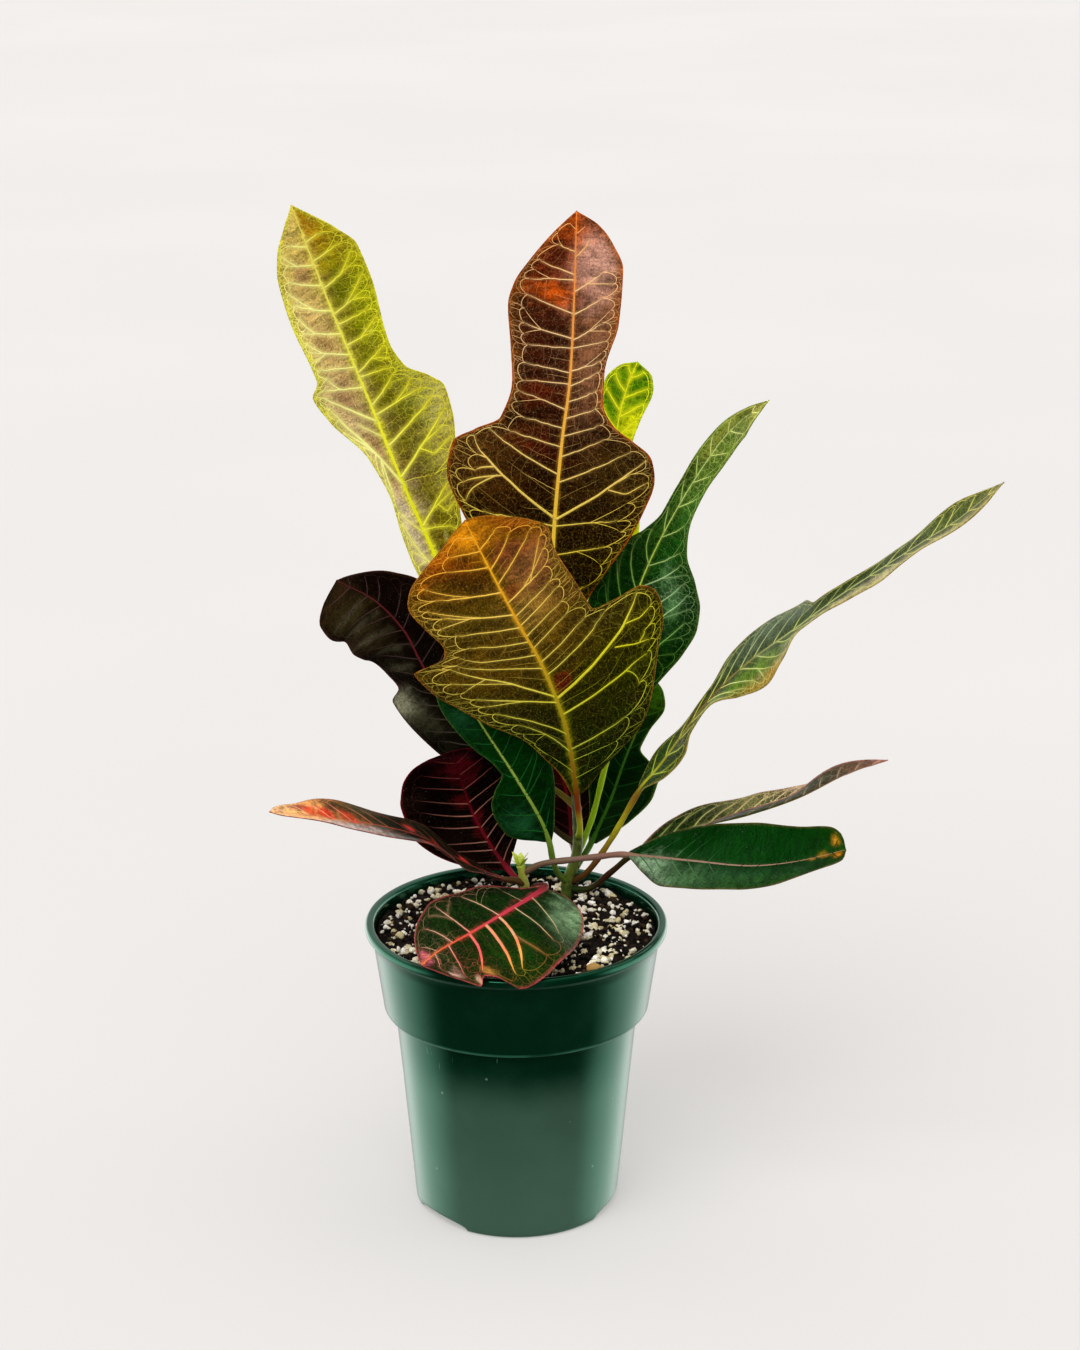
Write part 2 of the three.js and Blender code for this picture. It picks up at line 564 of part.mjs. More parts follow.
function soilGeometry() {
  const flat = Math.cos(Math.PI / POT_SIDES);
  const insideRadius = (radius) => (radius - POT_WALL) * flat - SOIL_GAP;
  const rings = [];
  const addRing = (radius, z) => {
    const ring = [];
    for (let k = 0; k < SOIL_SIDES; k += 1) {
      const angle = (2 * Math.PI * k) / SOIL_SIDES;
      const x = radius * Math.cos(angle);
      const y = radius * Math.sin(angle);
      ring.push(new THREE.Vector3(x, y, z ?? soilHeight(x, y)));
    }
    rings.push(ring);
  };
  addRing(insideRadius(BASE_RADIUS), FLOOR_TOP_Z + SEAT_GAP);
  addRing(insideRadius(BODY_TOP_RADIUS), BODY_TOP_Z);
  addRing(insideRadius(COLLAR_FOOT_RADIUS), SOIL_STEP_Z);
  const collarShare = (SOIL_Z - SOIL_RELIEF - COLLAR_FOOT_Z) / (POT_HEIGHT - COLLAR_FOOT_Z);
  const topRadius = insideRadius(mix(COLLAR_FOOT_RADIUS, COLLAR_TOP_RADIUS, collarShare));
  for (let i = 0; i < SOIL_RINGS; i += 1) {
    addRing(topRadius * (1 - i / SOIL_RINGS));
  }
  let solid = toSolid(skinRings(rings));

  const random = makeRandom(7);
  for (let i = 0; i < GRAIN_COUNT; i += 1) {
    const radius = (topRadius - 2 * GRAIN_RADIUS) * Math.sqrt(random());
    const angle = 2 * Math.PI * random();
    const x = radius * Math.cos(angle);
    const y = radius * Math.sin(angle);
    const nearStem = [STEM_MAIN, STEM_SIDE].some(({ points: [, [stemX, stemY]] }) => (
      Math.hypot(x - stemX, y - stemY) < GRAIN_STEM_CLEARANCE));
    if (nearStem) continue;
    const grain = new THREE.OctahedronGeometry(GRAIN_RADIUS * mix(GRAIN_SMALLEST, GRAIN_LARGEST, random()));
    grain.rotateX(random() * 3);
    grain.rotateY(random() * 3);
    grain.translate(x, y, soilHeight(x, y) + GRAIN_LIFT);
    solid = solid.add(toSolid(grain));
  }
  for (const stem of [STEM_MAIN, STEM_SIDE]) {
    solid = solid.subtract(toSolid(stemGeometry(stem, SEAT_GAP)));
  }
  return toGeometry(solid);
}

// The side stem ends in a young sprout: three small pointed leaves round a bud.
function sideStemGeometry() {
  let solid = toSolid(stemGeometry(STEM_SIDE));
  const top = vec(STEM_SIDE.points.at(-1));
  for (const { length, aside, back } of SPROUTS) {
    const sprout = new THREE.ConeGeometry(SPROUT_RADIUS, length, SPROUT_SIDES);
    sprout.rotateX(Math.PI / 2);
    sprout.translate(0, 0, length / 2 - SPROUT_ROOT);
    sprout.rotateY(radians(aside));
    sprout.rotateX(radians(back));
    sprout.translate(top.x, top.y, top.z);
    solid = solid.add(toSolid(sprout));
  }
  return toGeometry(solid);
}

// Assembly
const croton = new THREE.Group();

function addPiece(name, geometry, color, roughness) {
  geometry.computeVertexNormals();
  const material = new THREE.MeshStandardMaterial({ color, roughness, metalness: 0 });
  const mesh = new THREE.Mesh(geometry, material);
  mesh.name = name;
  croton.add(mesh);
}

addPiece('pot', potGeometry(), 0x1f4a38, 0.35);
addPiece('soil', soilGeometry(), 0x2a211a, 0.95);
addPiece('stem_main', stemGeometry(STEM_MAIN), 0x2f4a22, 0.6);
addPiece('stem_side', sideStemGeometry(), 0x8a7d45, 0.6);

const stemRoom = toSolid(stemGeometry(STEM_MAIN, SEAT_GAP)).add(toSolid(stemGeometry(STEM_SIDE, SEAT_GAP)));
for (const [name, leaf] of Object.entries(LEAVES)) {
  const blade = toSolid(leafGeometry(leaf)).subtract(stemRoom);
  addPiece(name, toGeometry(blade), leaf.color, 0.35);
}

export default croton;
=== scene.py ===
"""Looks of the potted croton: leaves, veins, stems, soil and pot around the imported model.

The scene is in metres and the tables in millimetres. Front is -Y and right is +X.
"""
import math

import bmesh
import bpy
import numpy as np
from mathutils import Euler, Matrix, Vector
from mathutils.kdtree import KDTree


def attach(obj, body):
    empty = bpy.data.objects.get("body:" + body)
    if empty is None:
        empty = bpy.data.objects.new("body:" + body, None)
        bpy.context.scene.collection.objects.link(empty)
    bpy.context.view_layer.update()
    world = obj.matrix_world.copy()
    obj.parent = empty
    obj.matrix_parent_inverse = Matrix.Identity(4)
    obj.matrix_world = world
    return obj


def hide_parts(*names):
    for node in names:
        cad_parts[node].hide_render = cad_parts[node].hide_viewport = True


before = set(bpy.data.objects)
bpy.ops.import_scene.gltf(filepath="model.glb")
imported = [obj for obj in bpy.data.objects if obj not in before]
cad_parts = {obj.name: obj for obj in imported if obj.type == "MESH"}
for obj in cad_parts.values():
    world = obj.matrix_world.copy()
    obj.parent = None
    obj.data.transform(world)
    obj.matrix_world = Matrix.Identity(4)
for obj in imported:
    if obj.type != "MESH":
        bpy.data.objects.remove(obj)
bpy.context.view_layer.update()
MM = 0.001
SIDES = {"left": -1.0, "right": 1.0}
TURN = 2 * math.pi

# The photograph's camera: its pitch, its focal length in pixels, and what it looks at.
IMAGE_HEIGHT = 1350
FOCAL_PIXELS = 2860
SENSOR = 36
CAMERA_PITCH = 18.2
CAMERA_TARGET = (13, 0, 305.4)
CAMERA_DISTANCE = 1518

# Blades: the mesh's cell, half the thickness, and how far in the edge is rounded, with its
# points as shares of that and of the thickness. The last rows of cells shrink to the tip.
CELL = 1.5
BLADE_HALF = 0.3
EDGE = 0.6
EDGE_INSETS = (0.3, 0.0)
EDGE_DEPTHS = (0.78, 0.2)
TIP_ROWS = (0.6, 0.3, 0.12, 0.0)
BLADE_CURL = math.radians(-0.3)
FULL_WAVE_WIDTH = 20
WAVE_PHASE = {"left": 0.8, "right": 2.6}
SPINE_DIVISIONS = 400
LEAST_WIDTH = 0.3
RELIEF = 0.28
SMOOTH_BY_RIB = (1.5, 7)

# Stalk and midrib, which is one tube. It swells at its foot and turns flat on the blade.
RIB_RADIUS = 1.7
RIB_RADIUS_AT_TIP = 0.45
RIB_RISE = 0.22
RIB_SIDES = 12
RIB_STEP = 2.2
RIB_END = 0.5
FOOT_SWELL = 0.55
FOOT_LENGTH = 6
STALK_KNOBS = 0.12
FLAT_FROM = -6
FLAT_TO = 9

# Veins: low ridges. Their section is (aside in shares of the width, height), where a height
# above 0 is a share of the rise, and one below 0 is in millimetres and inside the blade.
# Each kind is (width at the start, width at the end, rise, strength of its colour). The
# first four kinds' widths are shares of the vein's own. A leaf's faint weakens the colour
# of all but the bold kinds.
VEIN_STEP = 1.7
VEIN_GAIN = 1.22
VEIN_SECTION = [(-0.5, -0.07), (-0.27, 0.72), (0, 1), (0.27, 0.72), (0.5, -0.07), (0, -0.12)]
VEIN_KINDS = {
    "main": (1, 0.6, 0.16, 1), "thin": (1, 0.6, 0.16, 0.8), "fork": (1, 0.65, 0.15, 0.95),
    "extra": (1, 0.7, 0.13, 0.92), "arch": (0.6, 0.54, 0.12, 0.82),
    "outlet": (0.45, 0.34, 0.07, 0.6), "spur": (0.45, 0.36, 0.07, 0.6),
    "ring": (0.38, 0.32, 0.06, 0.5), "inner": (0.4, 0.3, 0.06, 0.4),
    "tie": (0.28, 0.26, 0.05, 0.22),
}
BOLD_KINDS = ("main", "thin", "fork")
THIN_VEIN = 0.6
SHORTEST_VEIN = 1.2
VEIN_TO_EDGE = 0.8
VEIN_TO_RIB = 0.012
SHORT_REACH = 0.46
ROUTE_STEPS = 12
SWAY = 0.0012
EXTRA_VEIN_GAP = 11
NARROW_HALF = 11
SHEET_SPACING = 40.0

# Paint: how sharply a patch ends, how strong the rim is, and the veins' share of their own
# colour on the lower face.
PATCH_POWER = 1.3
RIM_STRENGTH = 0.85
VEIN_BELOW = 0.6

# Colours and other values of a leaf that its own table below doesn't give.
USUAL_LOOK = dict(
    patches="", vein_patches="", net_patches="", forks=(), speck=0.2, flecks=0.3, gloss=0.14,
    faint=1.0, rib_wide=0.15, ragged=0.3, under_share=0.75,
)

# The leaves' forms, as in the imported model, in rows that commas part. stalk runs from the
# middle of the stem to the blade, and midrib from its base to its tip. facing is where the
# upper face looks, at even steps. left and right are half widths: per cent of the blade's
# length, then millimetres. sweep is how far the side veins lean to the tip and fold how far
# each half rises, in degrees, at even steps. wave and waves are the margin's height and number.
LEAVES = {
    "leaf_yellow": dict(
        stalk="33 46 213, 24 52 219, 9 58 229, -6 64 253",
        midrib="""-20 70 279, -34 78 309, -44 84 344, -60 86 382, -79 82 433, -99 66 491,
            -116 42 548""",
        facing="0 -1 .2, .05 -1 .25, 0 -1 .5",
        left="""0 2, 12 7, 24 14, 30 13, 38 10, 46 13, 54 25, 60 29, 64 23, 67 23, 75 24,
            84 22, 91 16, 96 8, 100 0""",
        right="""0 2, 12 8, 24 19, 36 32, 46 42, 51 43, 55 37, 60 26, 65 23, 78 27, 86 26,
            92 18, 97 7, 100 0""",
        sweep=(20, 12), fold={"left": (14, 10), "right": (12, 8)}, wave=3, waves=3,
    ),
    "leaf_bronze": dict(
        stalk="33 46 221, 31 54 230, 28 60 244, 25 64 262",
        midrib="22 67 295, 20 69 338, 21 69 372, 25 67 417, 29 63 451, 31 54 496, 32 42 545",
        facing="0 -1 .1, 0 -1 .2, 0 -1 .35",
        left="""0 2, 6 10, 14 30, 24 52, 32 64, 38 62, 43 50, 48 36, 57 32, 66 34, 75 36,
            81 33, 88 24, 95 11, 100 0""",
        right="""0 2, 9 19, 16 33, 26 49, 34 55, 40 52, 46 40, 51 27, 56 20, 62 19, 73 25,
            85 26, 91 20, 96 12, 100 0""",
        sweep=(20, 12), fold={"left": (10, 8), "right": (10, 8)}, wave=3, waves=3.5,
    ),
    "leaf_olive": dict(
        stalk="34 44 196, 35 39 200, 35 34 208, 34 31 216",
        midrib="33 28 227, 30 22 252, 25 16 277, 14 9 308, 2 4 332, -13 -3 364, -26 -10 393",
        facing=".1 -1 .1, .05 -1 .2, 0 -1 .3",
        left="""0 3, 7 8, 14 18, 22 29, 30 43, 39 56, 47 62, 53 65, 57 46, 61 43, 68 47,
            74 50, 80 45, 86 34, 92 20, 97 9, 100 0""",
        right="""0 4, 5 18, 10 37, 17 51, 25 63, 31 74, 36 77, 41 71, 45 54, 49 40, 60 39,
            72 37, 80 39, 87 32, 94 19, 98 9, 100 0""",
        sweep=(20, 16), fold={"left": (10, 8), "right": (10, 8)}, wave=2.5, waves=3,
    ),
    "leaf_lime": dict(
        stalk="31 48 236, 35 60 245, 40 78 262",
        midrib="45 98 284, 48 118 330, 53 132 378, 57 138 409, 62 142 429, 68 144 444",
        facing="-.1 -1 .5, -.1 -1 .3, -.1 -1 .2",
        left="0 2, 15 15, 32 28, 45 27, 56 18, 68 13, 80 13, 88 14, 95 9, 100 0",
        right="0 2, 15 13, 32 21, 45 20, 56 13, 68 10, 78 13, 88 16, 95 12, 100 0",
        sweep=(18, 18), fold={"left": (12, 10), "right": (12, 10)}, wave=2, waves=2.5,
    ),
    "leaf_right_upright": dict(
        stalk="33 45 184, 38 50 193, 43 55 206, 48 59 226",
        midrib="""53 63 247, 55 70 275, 60 75 303, 71 79 339, 89 76 378, 109 69 413,
            121 61 429, 135 50 443""",
        facing="0 -1 .1, -.25 -.95 .15, -.45 -.85 .3",
        left="0 2, 10 16, 20 26, 30 27, 38 25, 46 19, 51 12, 58 7, 66 7, 76 8, 86 7, 94 4, 100 0",
        right="""0 3, 8 18, 14 29, 20 37, 27 42, 34 40, 42 32, 50 20, 60 13, 70 11, 80 12,
            88 11, 95 5, 100 0""",
        sweep=(20, 20), fold={"left": (15, 40), "right": (15, 25)}, wave=2.5, waves=3,
    ),
    "leaf_right_long": dict(
        stalk="30 46 168, 40 43 176, 53 40 197",
        midrib="""68 36 227, 80 33 244, 102 28 278, 123 20 304, 148 8 328, 170 -4 350,
            190 -12 367, 209 -20 383, 228 -28 399, 248 -36 420""",
        facing="-.74 -.2 .67, -.74 -.1 .67, -.74 -.04 .67",
        left="0 3, 8 11, 15 7, 24 8, 32 16, 41 25, 48 21, 53 10, 64 7, 76 12, 86 14, 94 8, 100 0",
        right="""0 3, 6 13, 12 16, 17 9, 23 9, 30 23, 38 31, 44 24, 50 8, 62 10, 76 13, 88 12,
            95 7, 100 0""",
        sweep=(18, 18), fold={"left": (15, 8), "right": (0, 8)}, wave=3, waves=3.5,
    ),
    "leaf_right_folded": dict(
        stalk="29 46 164, 41 44 165, 53 44 175",
        midrib="70 42 190, 101 38 205, 127 30 215, 154 22 228, 180 12 246, 200 4 256",
        facing="-.51 -.15 .85, -.4 .2 .85, -.19 .6 .78",
        left="0 2, 12 11, 26 18, 40 18, 54 15, 68 14, 82 11, 92 7, 100 0",
        right="0 2, 12 13, 26 22, 40 24, 54 22, 68 20, 82 15, 92 8, 100 0",
        sweep=(15, 15), fold={"left": (30, 10), "right": (25, 10)}, wave=2, waves=2,
    ),
    "leaf_right_low": dict(
        stalk="3 27 181, 14 26 187, 28 24 190, 44 19 194",
        midrib="61 10 199, 93 -6 202, 124 -19 204, 149 -28 210, 175 -34 219",
        facing="-.2 -.19 .96, -.2 -.19 .96, -.2 -.19 .96",
        left="0 2, 10 12, 22 21, 34 25, 50 25, 65 24, 80 21, 92 16, 98 9, 100 0",
        right="0 2, 8 14, 18 24, 32 26, 50 22, 66 18, 80 15, 92 13, 98 9, 100 0",
        sweep=(18, 10), fold={"left": (35, 35), "right": (0, 4)}, wave=1.5, waves=2,
    ),
    "leaf_left_black": dict(
        stalk="34 45 191, 22 54 196, 8 66 207",
        midrib="""-10 78 223, -29 86 246, -44 90 264, -55 93 284, -64 95 301, -80 96 318,
            -101 95 330""",
        facing="0 -1 .3, 0 -1 .4, 0 -1 .45",
        left="""0 2, 7 14, 15 23, 28 25, 39 26, 44 19, 50 21, 60 28, 68 32, 77 30, 86 33,
            93 29, 98 15, 100 0""",
        right="0 2, 10 18, 25 30, 40 34, 50 30, 60 28, 70 27, 80 20, 90 11, 97 4, 100 0",
        sweep=(20, 14), fold={"left": (14, 10), "right": (12, 10)}, wave=2.5, waves=3,
    ),
    "leaf_green_left": dict(
        stalk="29 46 167, 23 42 175, 20 39 185",
        midrib="18 37 196, 13 34 211, -1 29 238, -17 24 266, -30 20 290, -38 16 307",
        facing="0 -1 .1, 0 -1 .2, 0 -1 .3",
        left="""0 3, 4 16, 9 22, 17 23, 25 21, 33 14, 40 6, 47 7, 55 11, 66 14, 77 15, 87 13,
            95 8, 100 0""",
        right="0 2, 10 9, 20 17, 30 22, 44 24, 56 18, 70 17, 82 16, 93 9, 100 0",
        sweep=(18, 14), fold={"left": (12, 8), "right": (12, 8)}, wave=2, waves=2.5,
    ),
    "leaf_crimson": dict(
        stalk="5 26 171, 1 33 174",
        midrib="-5 41 178, -15 48 190, -25 55 207, -31 60 224, -36 63 240",
        facing=".1 -1 .5, 0 -1 .3, 0 -1 .1",
        left="0 2, 9 15, 17 24, 28 32, 40 37, 58 38, 75 34, 88 26, 96 14, 100 0",
        right="0 2, 9 15, 20 26, 34 33, 50 35, 65 33, 80 28, 91 18, 97 9, 100 0",
        sweep=(16, 10), fold={"left": (12, 8), "right": (12, 8)}, wave=1.5, waves=2,
    ),
    "leaf_left_long": dict(
        stalk="5 26 175, -1 24 178",
        midrib="-9 18 182, -31 4 198, -51 -10 217, -77 -22 229, -103 -32 237, -129 -40 243",
        facing=".4 .1 .9, .4 .14 .9, .4 .14 .9",
        left="0 2, 12 12, 28 20, 45 20, 60 17, 75 15, 88 10, 96 5, 100 0",
        right="0 2, 12 12, 28 18, 45 18, 60 20, 75 20, 88 14, 96 7, 100 0",
        sweep=(15, 15), fold={"left": (6, 6), "right": (12, 12)}, wave=1.5, waves=2.5,
    ),
    "leaf_front_droop": dict(
        stalk="5 26 167, 9 15 177, 13 2 184",
        midrib="15 -8 186, -8 -42 185, -24 -57 181, -39 -67 176, -49 -73 170",
        facing=".15 -.45 .88, .12 -.38 .92, .12 -.33 .93",
        left="""0 3, 4 12, 10 23, 18 32, 27 38, 38 42, 50 45, 60 47, 67 46, 71 34, 76 30,
            80 35, 87 24, 94 11, 100 0""",
        right="0 3, 10 6, 24 13, 38 20, 50 25, 62 28, 70 28, 80 24, 88 17, 95 8, 100 0",
        sweep=(-25, 14), fold={"left": (7, 7), "right": (8, 8)}, wave=1.5, waves=2.5,
    ),
    "leaf_back_green": dict(
        stalk="29 46 171, 34 55 174, 38 62 178",
        midrib="42 68 183, 53 78 205, 61 86 226, 70 92 248, 76 96 274",
        facing="0 -1 .4, 0 -1 .3, .1 -1 .3",
        left="0 2, 15 10, 32 18, 45 20, 58 12, 65 8, 78 12, 90 8, 100 0",
        right="0 3, 8 10, 16 16, 30 23, 40 23, 50 15, 58 6, 68 7, 80 12, 90 9, 100 0",
        sweep=(16, 14), fold={"left": (10, 8), "right": (10, 8)}, wave=1.5, waves=2,
    ),
    "leaf_back_red": dict(
        stalk="33 45 178, 33 53 180, 32 62 182",
        midrib="31 72 184, 29 84 203, 24 94 220, 20 102 240, 17 106 256",
        facing="0 -1 .5, 0 -1 .4, 0 -1 .3",
        left="0 6, 6 13, 18 19, 40 24, 62 22, 82 15, 93 9, 100 0",
        right="0 6, 6 13, 18 19, 40 24, 62 22, 82 15, 93 9, 100 0",
        sweep=(12, 12), fold={"left": (10, 8), "right": (10, 8)}, wave=1.5, waves=2,
    ),
}

